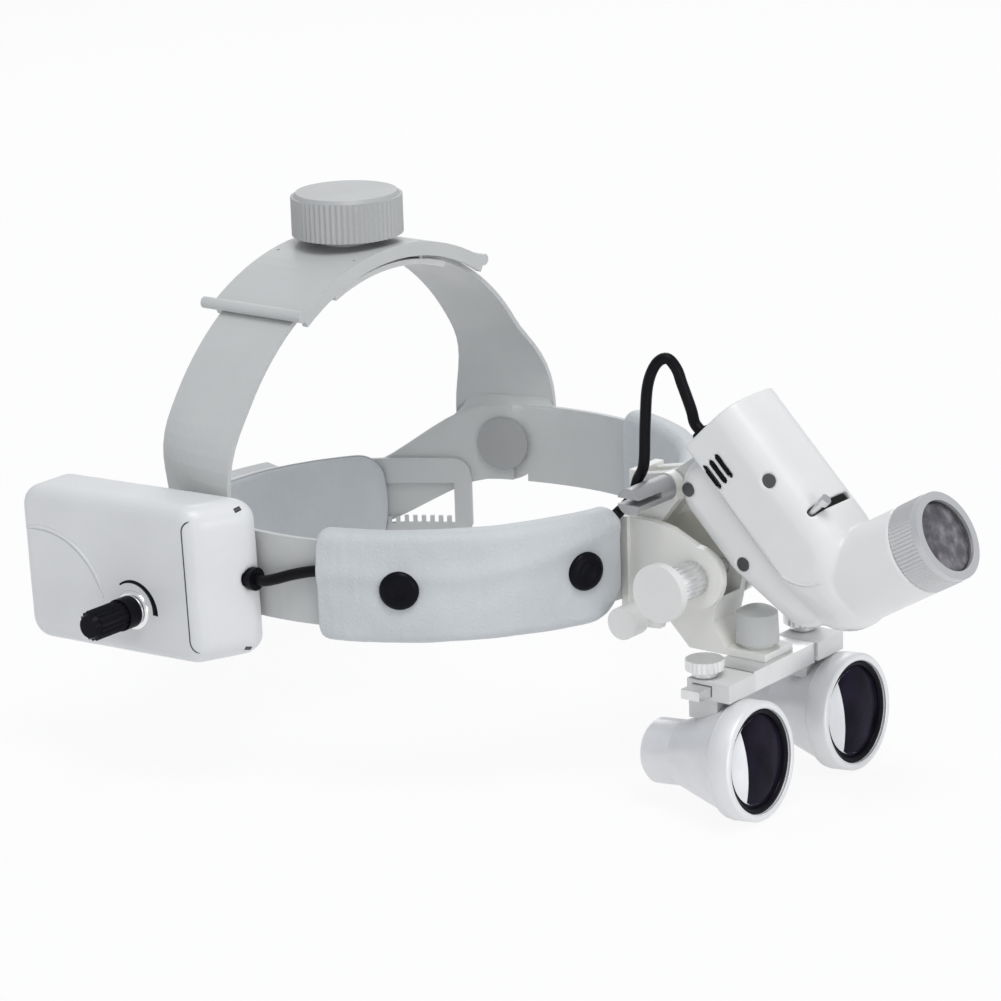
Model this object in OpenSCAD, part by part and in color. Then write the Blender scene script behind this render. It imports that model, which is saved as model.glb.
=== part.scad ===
// Head-worn binocular loupe with a headlight: an adjustable headband carries
// two magnifying barrels and an elbow-shaped lamp in front of the forehead,
// and a battery box on the wearer's right side.
// Millimetres. +X is the wearer's left, -Y is forward, +Z is up.
// The origin is the centre of the head opening, at the band's mid height.

/* [Head opening] */
// Half the width of the opening, to the middle of the band
side_r = 84.5; // [80:0.5:90]
// Centre of the opening to the middle of the band at the forehead
front_r = 82.5; // [79:0.5:88]
// Centre of the opening to the middle of the band at the nape
rear_r = 95; // [90:0.5:102]

/* [Headband] */
// Height of the band
band_h = 27.5; // [24:0.5:31]
// Thickness of the band
band_t = 1.8; // [1.4:0.1:2.2]
// Thickness of the crown straps and the rear arms
strip_t = 1.6; // [1.2:0.1:1.8]
// Angle from the forehead to the side junctions, in degrees
junction_a = 110; // [107:0.5:113]
// Radius of the round rivet heads at the junctions
rivet_r = 9.2; // [7.5:0.1:10]

/* [Rear arms] */
// How far the nape section hangs below the band
nape_drop = 21; // [16:0.5:25]
// Height of the toothed loops at the nape
loop_h = 30; // [28:0.5:33]
// Height of the toothed window in a loop
window_h = 14.6; // [13:0.2:16]
// Angle from the far end of a loop to the junction past it, in degrees
loop_clear_a = 7.5; // [6:0.5:12]
// Pitch of the rack teeth
tooth_pitch = 3.25; // [2.8:0.05:3.8]
// Height of the rack teeth
tooth_h = 2.4; // [1.8:0.1:2.6]

/* [Crown] */
// Width of the crown straps
crown_w = 30; // [27:0.5:33]
// Height of the crown straps' top above the band's middle
crown_top = 83; // [80:0.5:90]
// Half the angle that the crown cover spans, in degrees
cover_a = 32; // [29:0.5:34]
// Radius of the crown knob
crown_knob_r = 18.4; // [16:0.2:20]
// Height of the crown knob
crown_knob_h = 14; // [11:0.5:17]
// Radius of the nape knob
nape_knob_r = 15.5; // [13:0.5:16]
// Height of the nape knob
nape_knob_h = 12; // [9:0.5:15]

/* [Pads] */
// Height of the forehead sleeves
pad_h = 36; // [33:0.5:40]
// Thickness of a sleeve outside the band's middle
pad_out = 5.3; // [5:0.1:6.5]
// Thickness of a sleeve inside the band's middle
pad_in = 4.2; // [3.2:0.1:6]
// Angle from the forehead to the rear edge of a sleeve, in degrees
pad_rear_a = 76.5; // [70:0.5:80]
// Angle from the forehead to the front edge of a sleeve, in degrees
pad_front_a = 10.5; // [10:0.5:13]
// Half the angle that the nape pad spans, in degrees
nape_pad_a = 43; // [38:0.5:46]
// Radius of the snap caps
snap_r = 6.2; // [5:0.1:7]

/* [Battery box] */
// Length of the box, front to back
box_l = 84; // [80:0.5:92]
// Thickness of the box
box_w = 21; // [20:0.5:26]
// Height of the box
box_h = 51; // [49:0.5:58]
// Wall of the box
box_wall = 2; // [1.6:0.1:2.4]
// Rounding of the box's edges
box_round = 7; // [5:0.5:8]
// How far the box's front end is behind the middle of the opening
box_back = 0.5; // [0:0.5:4]
// Height of the box's middle above the band's middle, negative below
box_up = -1.5; // [-3:0.1:2]
// Radius of the dimmer knob
dimmer_r = 5.2; // [4.6:0.1:5.8]
// Length of the dimmer knob
dimmer_l = 21; // [15:0.5:24]
// Radius of a battery cell
cell_r = 7.1; // [6.8:0.1:7.3]
// Length of a battery cell
cell_l = 50; // [44:0.5:52]
// Radius of the charging socket's bore
socket_r = 2.75; // [2.5:0.05:3]

/* [Cable] */
// Diameter of the lamp's cable
cable_d = 3.6; // [3.2:0.1:3.8]

/* [Front bracket] */
// Forehead band to the axis of the loupe arm
hub_reach = 27.5; // [26:0.5:30]
// Height of the loupe arm's axis
hub_z = -2.5; // [-4:0.5:-1]
// Radius of the bracket's nose round the axis
nose_r = 10.2; // [9.6:0.1:10.6]
// Half the gap between the bracket's cheeks
cheek_gap = 8; // [7:0.5:9]
// Thickness of a cheek
cheek_t = 3; // [2.5:0.1:3.5]
// Forehead band to the axis of the lamp hinge
hinge_reach = 14.5; // [14:0.5:16]
// Height of the lamp hinge's axis
hinge_z = 24; // [23:0.5:25]
// Radius of the loupe lock knob
lock_r = 9.2; // [8:0.1:10]

/* [Lamp] */
// Width of the lamp body
lamp_w = 29; // [27:0.5:30]
// Lamp body's axis to its front face
lamp_front = 14.5; // [13.5:0.1:15]
// Lamp body's axis to the back of its web
web_back = 25.5; // [24.5:0.1:26]
// Wall of the lamp shells
lamp_wall = 2; // [1.6:0.1:2.2]
// Slope of the lamp body below level, in degrees
lamp_drop = 46; // [45:0.5:48]
// Slope of the beam above level, in degrees
beam_up = 30; // [28:0.5:33]
// Hinge axis to the lamp's elbow, forwards
elbow_reach = 62.8; // [61:0.2:64]
// Hinge axis to the lamp's elbow, downwards
elbow_fall = 22.5; // [21:0.1:24]
// Elbow to the top end of the lamp body
body_l = 63; // [62:0.5:68]
// Elbow to the focus ring
tube_l = 29.5; // [28:0.5:33]
// Radius of the lamp's front tube
tube_r = 14.3; // [13.8:0.1:14.5]
// Length of the focus ring
focus_l = 11; // [9:0.5:12]
// Clear radius of the lamp's front lens
lamp_lens_r = 11.7; // [10.5:0.1:12]

/* [Loupes] */
// Distance between the objective centres
objective_gap = 54.6; // [52:0.2:58]
// Hub axis to the objectives, forwards
objective_reach = 35.3; // [34.5:0.1:36]
// Hub axis to the objectives, downwards
objective_fall = 48.8; // [47.5:0.1:50]
// Toe-in of each barrel, in degrees
toe_in = 0.5; // [0:0.1:2]
// Upward slope of the barrels, in degrees
barrel_up = 5; // [3:0.5:6]
// Length of a barrel
barrel_l = 39; // [37:0.5:43]
// Radius of the objective rings
ring_r = 18.6; // [18:0.1:19.2]
// Radius of the objective lenses
objective_r = 16.4; // [15.6:0.1:16.8]
// Radius of a barrel at the eye end
eye_r = 10.3; // [9.5:0.1:11]
// Width of a slide block
block_w = 14.4; // [12:0.2:15]
// Radius of the thumb screw heads
thumb_r = 6.1; // [5:0.1:6.6]

/* [Fits] */
// Radial clearance of a shaft that turns in a bore
turn_gap = 0.05; // [0.03:0.01:0.09]
// Clearance between parts that slide or pass each other
pass_gap = 0.3; // [0.25:0.05:0.45]

/* [Hidden] */
$fn = 48;

// ---- Paths and shared shapes ----

// Half the height and half the thickness of the band
half_h = band_h / 2;
half_t = band_t / 2;
// Greatest angle between two corners of a bent strip
bend_step = 3;

// Outward direction of the head opening at angle t from the forehead, towards
// the wearer's right
function ring_depth(t) = cos(t) >= 0 ? front_r : rear_r;
function ring_dir(t) = let(v = [-sin(t) / side_r, -cos(t) / ring_depth(t)]) v / norm(v);
// Point at angle t, out millimetres outside the middle of the band
function ring(t, out = 0) = [-side_r * sin(t), -ring_depth(t) * cos(t)] + out * ring_dir(t);
function bend_angles(t0, t1) = concat([t0],
    [for (t = [ceil((t0 + 0.5) / bend_step) * bend_step : bend_step : t1 - 0.5]) t], [t1]);
// Equal steps from a to b, none above bend_step
function steps(a, b) = let(n = ceil((b - a) / bend_step)) [for (i = [0:n]) a + (b - a) * i / n];
function ring_outline(t0, t1, in, out) = let(a = bend_angles(t0, t1), n = len(a) - 1)
    concat([for (t = a) ring(t, out)], [for (i = [n:-1:0]) ring(a[i], in)]);

// Upright strip that follows the head opening from angle t0 to t1
module band(t0, t1, in, out, z0, z1) {
    translate([0, 0, z0])
        linear_extrude(z1 - z0)
            polygon(ring_outline(t0, t1, in, out));
}

// Puts the Z axis along the outward direction of the band at angle t and height z
module on_band(t, z = 0, out = 0) {
    p = ring(t, out);
    d = ring_dir(t);
    translate([p.x, p.y, z])
        rotate([0, 90, atan2(d.y, d.x)])
            children();
}

// Plate between x0 and x1 whose outline is given as [forward, up]
module side_plate(x0, x1) {
    translate([x0, 0, 0])
        rotate([90, 0, 90])
            linear_extrude(x1 - x0)
                mirror([1, 0])
                    children();
}

// Shaft along X, from x0 to x1, at a forward distance f and height z
module cross_shaft(x0, x1, f, z, r) {
    translate([x0, -f, z])
        rotate([0, 90, 0])
            cylinder(r = r, h = x1 - x0);
}

// Star-shaped outline with n ridges, for knurled grips
module ridged(n, r, depth) {
    polygon([for (i = [0:2 * n - 1]) (r - (i % 2) * depth) * [cos(180 * i / n), sin(180 * i / n)]]);
}

// Outline of a small gear
module gear(n, r_tip, r_root) {
    polygon([for (i = [0:n - 1], k = [[0.1, r_root], [0.3, r_tip], [0.5, r_tip], [0.7, r_root]])
        k[1] * [cos(360 * (i + k[0]) / n), sin(360 * (i + k[0]) / n)]]);
}

// Solid skinned over a list of sections with equally many corners
module skin(sections) {
    n = len(sections[0]);
    m = len(sections);
    sides = [for (i = [0:m - 2], j = [0:n - 1], half = [0, 1])
        let(k = (j + 1) % n)
        half == 0 ? [i * n + j, i * n + k, (i + 1) * n + k] : [i * n + j, (i + 1) * n + k, (i + 1) * n + j]];
    // Each end is closed by pairs of triangles between opposite points
    pairs = [for (i = [0:n / 2 - 2]) each [[i, i + 1, n - 2 - i], [i, n - 2 - i, n - 1 - i]]];
    first = [for (t = pairs) [t[0], t[2], t[1]]];
    last = [for (t = pairs) (m - 1) * n * [1, 1, 1] + t];
    polyhedron([for (s = sections, p = s) p], concat(sides, first, last));
}

function blend(a, b, u) = a * (1 - u) + b * u;
function ease(u) = let(v = min(1, max(0, u))) v * v * (3 - 2 * v);

// ---- Headband ----

rivet_pin_r = 2.4;
strip_seat = 0.05;
strip_out = half_t + strip_seat;
snap_angles = [19.5, 59];
snap_pin_r = 1.7;

module headband() {
    color("silver") difference() {
        union() {
            band(-junction_a + 5, junction_a - 5, -half_t, half_t, -half_h, half_h);
            for (side = [-1, 1])
                intersection() {
                    band(side * junction_a - 8, side * junction_a + 9, -half_t, half_t, -half_h, half_h);
                    on_band(side * junction_a) cylinder(r = half_h, h = 12, center = true, $fn = 64);
                }
        }
        for (side = [-1, 1]) {
            on_band(side * junction_a) cylinder(r = rivet_pin_r, h = 12, center = true);
            for (a = snap_angles)
                on_band(side * a) cylinder(r = snap_pin_r, h = 12, center = true);
        }
        cross_bore(bracket_screw_z);
        cross_bore(-bracket_screw_z);
    }
}

// Screw holes through the band for the front bracket
bracket_screw_z = 7;
bracket_screw_r = 1.5;
module cross_bore(z) {
    translate([0, -front_r, z])
        rotate([90, 0, 0])
            cylinder(r = bracket_screw_r, h = 12, center = true);
}

// ---- Crown straps ----

// The straps bend about an axis along Y, and their middle is crown_f behind the
// middle of the opening
crown_f = 33.8;
arch_z = -2.5;
layer_gap = 0.1;
crown_front = crown_f - crown_w / 2;
crown_back = crown_f + crown_w / 2;
arch_r = crown_top - arch_z;
root_low = -rivet_r;
root_high = 12;
root_front_a = junction_a - 11;
root_back_a = junction_a + 11;
root_blend = 26;
root_arch_a = asin((root_high - arch_z) / arch_r);
strap_end_a = 118;
// Rows across a strap, from its front edge. The rack is in row 2 and the window
// in rows 3 to 6
strap_rows = [0, 0.125, 0.25, 0.32, 0.41, 0.5, 0.625, 0.75, 0.875, 1];
rack_row = 2;
window_last_row = 6;
window_start_a = 74;
strap_teeth = 18;
strap_tooth_a = tooth_pitch / (0.0174533 * arch_r);

// Point of a strap at arch angle a, with w from 0 at the front edge to 1 at the back
function arch_point(a, w, out) = [-(arch_r + out) * cos(a), crown_front + w * crown_w,
    arch_z + (arch_r + out) * sin(a)];
function root_point(a, w, out) = let(p = ring(blend(root_front_a, root_back_a, w), out))
    [p.x, p.y, arch_z + (arch_r + out) * sin(a)];
function strap_point(a, w, in_layer, out_layer) = let(u = ease((a - root_arch_a) / root_blend))
    blend(root_point(a, w, in_layer), arch_point(a, w, out_layer), u);
function halves(q) = [[q[0], q[1], q[2]], [q[0], q[2], q[3]]];

module arch_sector(r0, r1, a0, a1, y0, y1) {
    n = ceil((a1 - a0) / bend_step);
    function at(r, i) = let(a = blend(a0, a1, i / n)) r * [-cos(a), sin(a)];
    translate([0, y1, arch_z])
        rotate([90, 0, 0])
            linear_extrude(y1 - y0)
                polygon(concat([for (i = [0:n]) at(r1, i)], [for (i = [n:-1:0]) at(r0, i)]));
}

// Strap on the wearer's right, as a plate of cells with its window left open.
// layer is where its inner face lies, and teeth is 1 for a rack on the front edge
// of its window and -1 for one on the back edge
module crown_strap(layer, teeth) {
    root_low_a = asin((root_low - arch_z) / arch_r);
    solid_a = concat([root_low_a], steps(root_arch_a, window_start_a));
    a = concat(solid_a, [for (i = [1:2 * strap_teeth]) window_start_a + i * strap_tooth_a / 2], [strap_end_a]);
    rows = len(strap_rows) - 1;
    w = [for (j = [0:rows]) teeth > 0 ? strap_rows[j] : 1 - strap_rows[rows - j]];
    cells = len(a) - 1;
    i0 = len(solid_a) - 1;
    i1 = cells - 1;
    function filled(i, j) = let(r = teeth > 0 ? j : rows - 1 - j)
        i >= 0 && j >= 0 && i < cells && j < rows
        && (i < i0 || i >= i1 || r < rack_row || r > window_last_row || (r == rack_row && (i - i0) % 2 == 1));
    function top(i, j) = i * (rows + 1) + j;
    function low(i, j) = (cells + 1) * (rows + 1) + top(i, j);
    difference() {
        polyhedron(
            concat([for (i = [0:cells], j = [0:rows])
                    strap_point(a[i], w[j], strip_out + strip_t, layer + strip_t)],
                [for (i = [0:cells], j = [0:rows]) strap_point(a[i], w[j], strip_out, layer)]),
            [for (i = [0:cells - 1], j = [0:rows - 1]) if (filled(i, j)) each concat(
                halves([top(i, j), top(i, j + 1), top(i + 1, j + 1), top(i + 1, j)]),
                halves([low(i, j), low(i + 1, j), low(i + 1, j + 1), low(i, j + 1)]),
                filled(i, j - 1) ? [] : halves([top(i, j), top(i + 1, j), low(i + 1, j), low(i, j)]),
                filled(i, j + 1) ? []
                    : halves([top(i + 1, j + 1), top(i, j + 1), low(i, j + 1), low(i + 1, j + 1)]),
                filled(i - 1, j) ? [] : halves([top(i, j + 1), top(i, j), low(i, j), low(i, j + 1)]),
                filled(i + 1, j) ? []
                    : halves([top(i + 1, j), top(i + 1, j + 1), low(i + 1, j + 1), low(i + 1, j)]))]);
        on_band(junction_a) rotate([0, 0, 25]) cylinder(r = rivet_pin_r, h = 12, center = true);
    }
}

module crown_strap_right() {
    color("silver") crown_strap(layer_gap / 2, 1);
}

module crown_strap_left() {
    color("silver") mirror([1, 0, 0]) crown_strap(-layer_gap / 2 - strip_t, -1);
}

// ---- Crown fitting ----

cover_t = 2;
cover_seat = 0.3;
cover_r = arch_r + layer_gap / 2 + strip_t + cover_seat;
cover_front = crown_front - 4.6;
cover_back = crown_back + 3.4;
lip_front = cover_front;
lip_back = cover_back + 3.6;
skirt_drop = 2.6;
plate_t = 1.8;
plate_r = arch_r - layer_gap / 2 - strip_t - cover_seat;
plate_a = 20;
lip_r = 1.9;
lip_at = cover_r + lip_r - 0.1;
crown_shaft_r = 3.2;
crown_stem_r = 2.4;
pinion_r = 4.7;
crown_z = arch_z + cover_r + cover_t;

module crown_cover() {
    color("silver") difference() {
        union() {
            arch_sector(cover_r, cover_r + cover_t, 90 - cover_a, 90 + cover_a, cover_front, cover_back);
            for (a = [90 - cover_a, 90 + cover_a])
                translate([-lip_at * cos(a), lip_front, arch_z + lip_at * sin(a)])
                    rotate([-90, 0, 0])
                        cylinder(r = lip_r, h = lip_back - lip_front);
            for (y = [cover_front, cover_back - cover_t])
                arch_sector(cover_r - skirt_drop, cover_r + 0.5, 90 - cover_a, 90 + cover_a, y, y + cover_t);
            crown_boss();
        }
        translate([0, crown_f, arch_z]) cylinder(r = crown_shaft_r + turn_gap, h = 2 * arch_r);
        crown_post_holes();
    }
}

// Level seat for the knob on top of the arched cover
crown_boss_r = 9;
crown_boss_h = 2.2;
module crown_boss() {
    translate([0, crown_f, crown_z - 1.5]) cylinder(r = crown_boss_r, h = 1.5 + crown_boss_h);
}

// Posts of the inner plate that snap into holes in the cover
crown_post_x = 17;
crown_post_r = 0.6;
crown_post_y = [crown_front - 1.3, crown_back + 0.7];
module crown_post_holes() {
    for (x = [-crown_post_x, crown_post_x], y = crown_post_y)
        translate([x, y, arch_z + 40]) cylinder(r = crown_post_r + 0.05, h = 60);
}

module crown_plate() {
    color("gainsboro") difference() {
        union() {
            arch_sector(plate_r - plate_t, plate_r, 90 - plate_a, 90 + plate_a,
                cover_front + cover_t + 0.1, cover_back - cover_t - 0.1);
            for (x = [-crown_post_x, crown_post_x], y = crown_post_y)
                translate([x, y, arch_z + sqrt(plate_r * plate_r - x * x) - 1])
                    cylinder(r = crown_post_r, h = 6.4);
        }
        translate([0, crown_f, arch_z]) cylinder(r = crown_stem_r + turn_gap, h = 2 * arch_r);
    }
}

module crown_knob() {
    under = crown_z + crown_boss_h + pass_gap;
    bevel = 1.2;
    color("silver") difference() {
        union() {
            translate([0, crown_f, under])
                linear_extrude(crown_knob_h - bevel) ridged(60, crown_knob_r, 0.5);
            translate([0, crown_f, under + crown_knob_h - bevel - 0.1])
                cylinder(r1 = crown_knob_r - 0.75, r2 = crown_knob_r - 0.5 - bevel, h = bevel + 0.1, $fn = 64);
            translate([0, crown_f, arch_z + cover_r + 0.3])
                cylinder(r = crown_shaft_r, h = under - arch_z - cover_r);
            translate([0, crown_f, arch_z + plate_r - plate_t - 1])
                cylinder(r = crown_stem_r, h = cover_r - plate_r + plate_t + 2);
        }
        translate([0, crown_f, under - 1])
            rotate_extrude($fn = 64)
                translate([crown_shaft_r + 2.4, 0])
                    square([crown_knob_r - crown_shaft_r - 5, crown_knob_h - 2]);
    }
}

module crown_pinion() {
    low = arch_z + plate_r + 0.3;
    color("white") translate([0, crown_f, low])
        difference() {
            linear_extrude(cover_r - plate_r - 0.7) gear(10, pinion_r, pinion_r - 1.6);
            translate([0, 0, -1]) cylinder(r = crown_stem_r, h = 12);
        }
}

// ---- Rear arms and nape fitting ----

loop_z = -nape_drop;
arm_root_a = junction_a - 7;
arm_full_a = junction_a + 35;
arm_turn_a = junction_a + 10;
arm_width = 22;
arm_in = -half_t - strip_seat;
loop_start_a = junction_a + 41;
loop_end_a = 360 - junction_a - loop_clear_a;
// A rack starts behind the middle of the nape
rack_start_a = 168;

// The far end of a loop steps aside to pass the other arm's root
loop_turn_a = 360 - arm_full_a;
loop_turn = arm_full_a - arm_turn_a;
loop_step = 2.7;
function loop_layer(t, layer) = layer + (layer > 0 ? 1 : -1) * loop_step * ease((t - loop_turn_a) / loop_turn);

// Arm on the wearer's right. layer is where its inner face lies, and the rack
// is under the window for teeth 1 and over it for -1
function arm_section(t, layer) = let(
    u = ease((t - arm_turn_a) / (arm_full_a - arm_turn_a)),
    v = ease((t - arm_full_a) / (loop_start_a - arm_full_a)),
    mid = blend(0, loop_z, ease((t - junction_a - 2) / (arm_full_a - junction_a - 2))),
    half = blend(blend(half_h - 0.5, arm_width / 2, u), loop_h / 2, v),
    in = blend(arm_in - strip_t, layer, u),
    a = ring(t, in), b = ring(t, in + strip_t))
    [[a.x, a.y, mid - half], [a.x, a.y, mid + half], [b.x, b.y, mid + half], [b.x, b.y, mid - half]];

module loop_band(t0, t1, layer, z0, z1) {
    a = bend_angles(t0, t1);
    n = len(a) - 1;
    translate([0, 0, z0])
        linear_extrude(z1 - z0)
            polygon(concat([for (t = a) ring(t, loop_layer(t, layer) + strip_t)],
                [for (i = [n:-1:0]) ring(a[i], loop_layer(a[i], layer))]));
}

module rear_arm(layer, teeth) {
    low = loop_z - window_h / 2 - teeth * 1.2;
    high = low + window_h;
    bottom = loop_z - loop_h / 2;
    top = loop_z + loop_h / 2;
    rack_low = teeth > 0 ? low - 0.01 : high - tooth_h;
    tooth_a = tooth_pitch / (0.0174533 * rear_r);
    difference() {
        union() {
            skin([for (t = bend_angles(arm_root_a + 5, loop_start_a)) arm_section(t, layer)]);
            loop_band(loop_start_a - 0.4, loop_end_a, layer, bottom, low);
            loop_band(loop_start_a - 0.4, loop_end_a, layer, high, top);
            loop_band(loop_end_a - 4, loop_end_a, layer, low - 1, high + 1);
            loop_band(loop_start_a - 0.4, rack_start_a - 12, layer, low - 1, high + 1);
            translate([0, 0, rack_low])
                linear_extrude(tooth_h + 0.01)
                    for (t = [rack_start_a : tooth_a : loop_end_a - 4.4])
                        let(in = loop_layer(t + tooth_a * 0.25, layer))
                            polygon([ring(t, in), ring(t + tooth_a * 0.5, in),
                                ring(t + tooth_a * 0.5, in + strip_t), ring(t, in + strip_t)]);
        }
        on_band(junction_a) cylinder(r = rivet_pin_r, h = 12, center = true);
        loop_corners(layer, bottom, top);
    }
}

// Rounds the two outer corners at the far end of a loop
corner_r = 6;
module loop_corners(layer, bottom, top) {
    end_a = loop_end_a - corner_r / (0.0174533 * side_r);
    for (z = [bottom + corner_r, top - corner_r])
        difference() {
            band(end_a, loop_end_a + 2, layer - 4, layer + strip_t + 4, z < loop_z ? bottom - 1 : z,
                z < loop_z ? z : top + 1);
            on_band(end_a, z) cylinder(r = corner_r, h = 14, center = true);
        }
}

module rear_arm_right() {
    color("silver") rear_arm(-layer_gap / 2 - strip_t, 1);
}

module rear_arm_left() {
    color("silver") mirror([1, 0, 0]) rear_arm(layer_gap / 2, -1);
}

rivet_head_r = 4.6;
module junction_rivets() {
    head = 1.1;
    inner = arm_in - strip_t - 0.55;
    outer = strip_out + strip_t + 0.05;
    color("silver")
        for (side = [-1, 1])
            on_band(side * junction_a) {
                translate([0, 0, inner - head]) cylinder(r = rivet_r, h = head);
                translate([0, 0, inner - 0.1]) cylinder(r = rivet_pin_r, h = outer - inner + 0.2);
                translate([0, 0, outer]) cylinder(r = rivet_head_r, h = head - 0.2);
            }
}

housing_a = 16;
housing_t = 2.4;
housing_in = layer_gap / 2 + strip_t + 0.4;
housing_lip = 2;
nape_shaft_r = 3;
nape_stem_r = 2.2;

module nape_bore(r) {
    translate([0, rear_r - 20, loop_z]) rotate([-90, 0, 0]) cylinder(r = r, h = 40);
}

module nape_housing() {
    half = loop_h / 2 + pass_gap + housing_lip;
    color("silver") difference() {
        union() {
            band(180 - housing_a, 180 + housing_a, housing_in, housing_in + housing_t,
                loop_z - half, loop_z + half);
            for (z = [loop_z - half, loop_z + half - housing_lip])
                band(180 - housing_a, 180 + housing_a, -housing_in, housing_in + 0.5, z, z + housing_lip);
        }
        nape_bore(nape_shaft_r + turn_gap);
    }
}

module nape_plate() {
    half = loop_h / 2 + pass_gap + housing_lip;
    color("gainsboro") difference() {
        band(180 - housing_a, 180 + housing_a, -housing_in - 0.05 - plate_t, -housing_in - 0.05,
            loop_z - half, loop_z + half);
        nape_bore(nape_stem_r + turn_gap);
    }
}

module nape_knob() {
    face = rear_r + housing_in + housing_t + pass_gap + 0.2;
    color("silver") translate([0, 0, loop_z]) rotate([-90, 0, 0]) {
        translate([0, 0, face]) linear_extrude(nape_knob_h - 1.2) ridged(48, nape_knob_r, 0.6);
        translate([0, 0, face + nape_knob_h - 1.3])
            cylinder(r1 = nape_knob_r - 0.85, r2 = nape_knob_r - 1.8, h = 1.3, $fn = 64);
        translate([0, 0, rear_r + housing_in + 0.3]) cylinder(r = nape_shaft_r, h = face - rear_r - housing_in);
        translate([0, 0, rear_r - housing_in - plate_t])
            cylinder(r = nape_stem_r, h = 2 * housing_in + plate_t + 1);
    }
}

module nape_pinion() {
    color("white") translate([0, rear_r - housing_in + 0.4, loop_z])
        rotate([-90, 0, 0])
            difference() {
                linear_extrude(2 * housing_in - 0.8) gear(10, pinion_r, pinion_r - 1.6);
                translate([0, 0, -1]) cylinder(r = nape_stem_r, h = 12);
            }
}

// ---- Pads ----

sleeve_skin = 0.6;
pocket_h = band_h + 0.6;
pocket_in = half_t + 0.2;

module forehead_pad(front_a) {
    color("white") difference() {
        band(front_a, pad_rear_a, -pad_in, pad_out, -pad_h / 2, pad_h / 2);
        band(front_a - 2, pad_rear_a + 2, -pocket_in, pad_out - sleeve_skin, -pocket_h / 2, pad_h / 2 - 1.2);
        for (a = snap_angles)
            on_band(a) cylinder(r = snap_pin_r, h = 20);
    }
}

module forehead_pad_right() {
    forehead_pad(pad_front_a);
}

module forehead_pad_left() {
    mirror([1, 0, 0]) forehead_pad(pad_front_a);
}

module nape_pad() {
    outer = -housing_in - 0.1 - plate_t - 0.05;
    color("white") difference() {
        band(180 - nape_pad_a, 180 + nape_pad_a, outer - 5, outer, loop_z - pad_h / 2, loop_z + pad_h / 2);
        nape_bore(nape_stem_r + 1.4);
    }
}

module snap_caps() {
    dome = 1.3;
    color("black")
        for (side = [-1, 1], a = snap_angles)
            on_band(side * a, 0, pad_out + 0.05) {
                cylinder(r1 = snap_r, r2 = snap_r - 0.9, h = dome);
                translate([0, 0, -pad_out - half_t - 0.1])
                    cylinder(r = snap_pin_r - 0.05, h = pad_out + half_t + 0.2);
            }
}

// ---- Battery box ----

box_in = side_r + half_t + strip_t;
box_tilt = 2;
box_cap = 5;

// Box frame: X inwards from the outer face, Y backwards from the front end, Z up
// from the middle of the box
module at_box() {
    translate([-box_in - box_w, box_back, box_up + box_l / 2 * sin(box_tilt)])
        rotate([-box_tilt, 0, 0])
            children();
}

// How far the front end slants back towards the outer face
box_slant = 10;
face_bevel = 3.2;

// Thin slice of the box at x, with rounded corners, inset by a wall
module box_slice(x, inset) {
    r = max(1, box_round - inset);
    y0 = box_slant * (1 - x / box_w) + inset;
    y1 = box_l - inset;
    z1 = box_h / 2 - inset;
    translate([x, 0, 0])
        rotate([90, 0, 90])
            linear_extrude(0.05)
                union() {
                    translate([y0 + r, -z1]) square([y1 - y0 - 2 * r, 2 * z1]);
                    translate([y0, -z1 + r]) square([y1 - y0, 2 * z1 - 2 * r]);
                    for (y = [y0 + r, y1 - r], z = [-z1 + r, z1 - r])
                        translate([y, z]) circle(r = r, $fn = 32);
                }
}

module box_solid(inset) {
    hull() {
        box_slice(inset, inset + face_bevel);
        box_slice(inset + face_bevel * 0.3, inset + face_bevel * 0.3);
        box_slice(inset + face_bevel, inset);
        box_slice(box_w - inset - face_bevel, inset);
        box_slice(box_w - inset - 0.05, inset + face_bevel * 0.6);
    }
}

module box_part(x0, x1) {
    intersection() {
        difference() {
            box_solid(0);
            box_solid(box_wall);
        }
        translate([x0, -10, -box_h]) cube([x1 - x0, box_l + 20, 2 * box_h]);
    }
}

dimmer_y = 37.4;
dimmer_z = -10.3;
dimmer_pin_r = 1.5;
seam_gap = 0.1;
grommet_r = 3;
grommet_x = box_w - 3.6;
grommet_z = 0;

module dimmer_axis() {
    translate([0, dimmer_y, dimmer_z]) rotate([0, 90, 0]) children();
}

module box_outer_case() {
    color("white") at_box() difference() {
        box_part(-1, box_cap);
        dimmer_axis() translate([0, 0, -1]) cylinder(r = 3.6, h = 6);
    }
}

module box_inner_case() {
    color("white") at_box() difference() {
        box_part(box_cap + seam_gap, box_w + 1);
        box_fixings() translate([0, 0, -1]) cylinder(r = 1.6, h = box_wall + 2);
        grommet_place() {
            translate([0, 0, -1]) cylinder(r = grommet_r, h = box_wall + 4);
            translate([0, 0, -5]) cylinder(r = grommet_r + 0.8, h = 5);
        }
        translate([socket_x, box_l - box_wall - 1, socket_z])
            rotate([-90, 0, 0]) cylinder(r = socket_r + 1.5, h = box_wall + 2);
    }
}

module grommet_place() {
    translate([grommet_x, box_slant * (1 - grommet_x / box_w), grommet_z]) rotate([-90, 0, 0]) children();
}

// Places of the screws that hold the box on its saddle, drawn from the inner face
fixing_y = [24, 40];
fixing_z = 7.35;
fixing_bite = 1.8;
module box_fixings() {
    for (y = fixing_y)
        translate([box_w - box_wall, y, fixing_z]) rotate([0, 90, 0]) children();
}

module battery_cells() {
    start = box_slant + box_wall + 0.4;
    color("steelblue") at_box()
        for (z = [-1:1])
            translate([box_w - box_wall - cell_r - 0.6, start, z * (2 * cell_r + 0.5)]) rotate([-90, 0, 0]) {
                cylinder(r = cell_r, h = cell_l - 1);
                translate([0, 0, cell_l - 1.1]) cylinder(r = 2.6, h = 1.1);
            }
}

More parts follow.
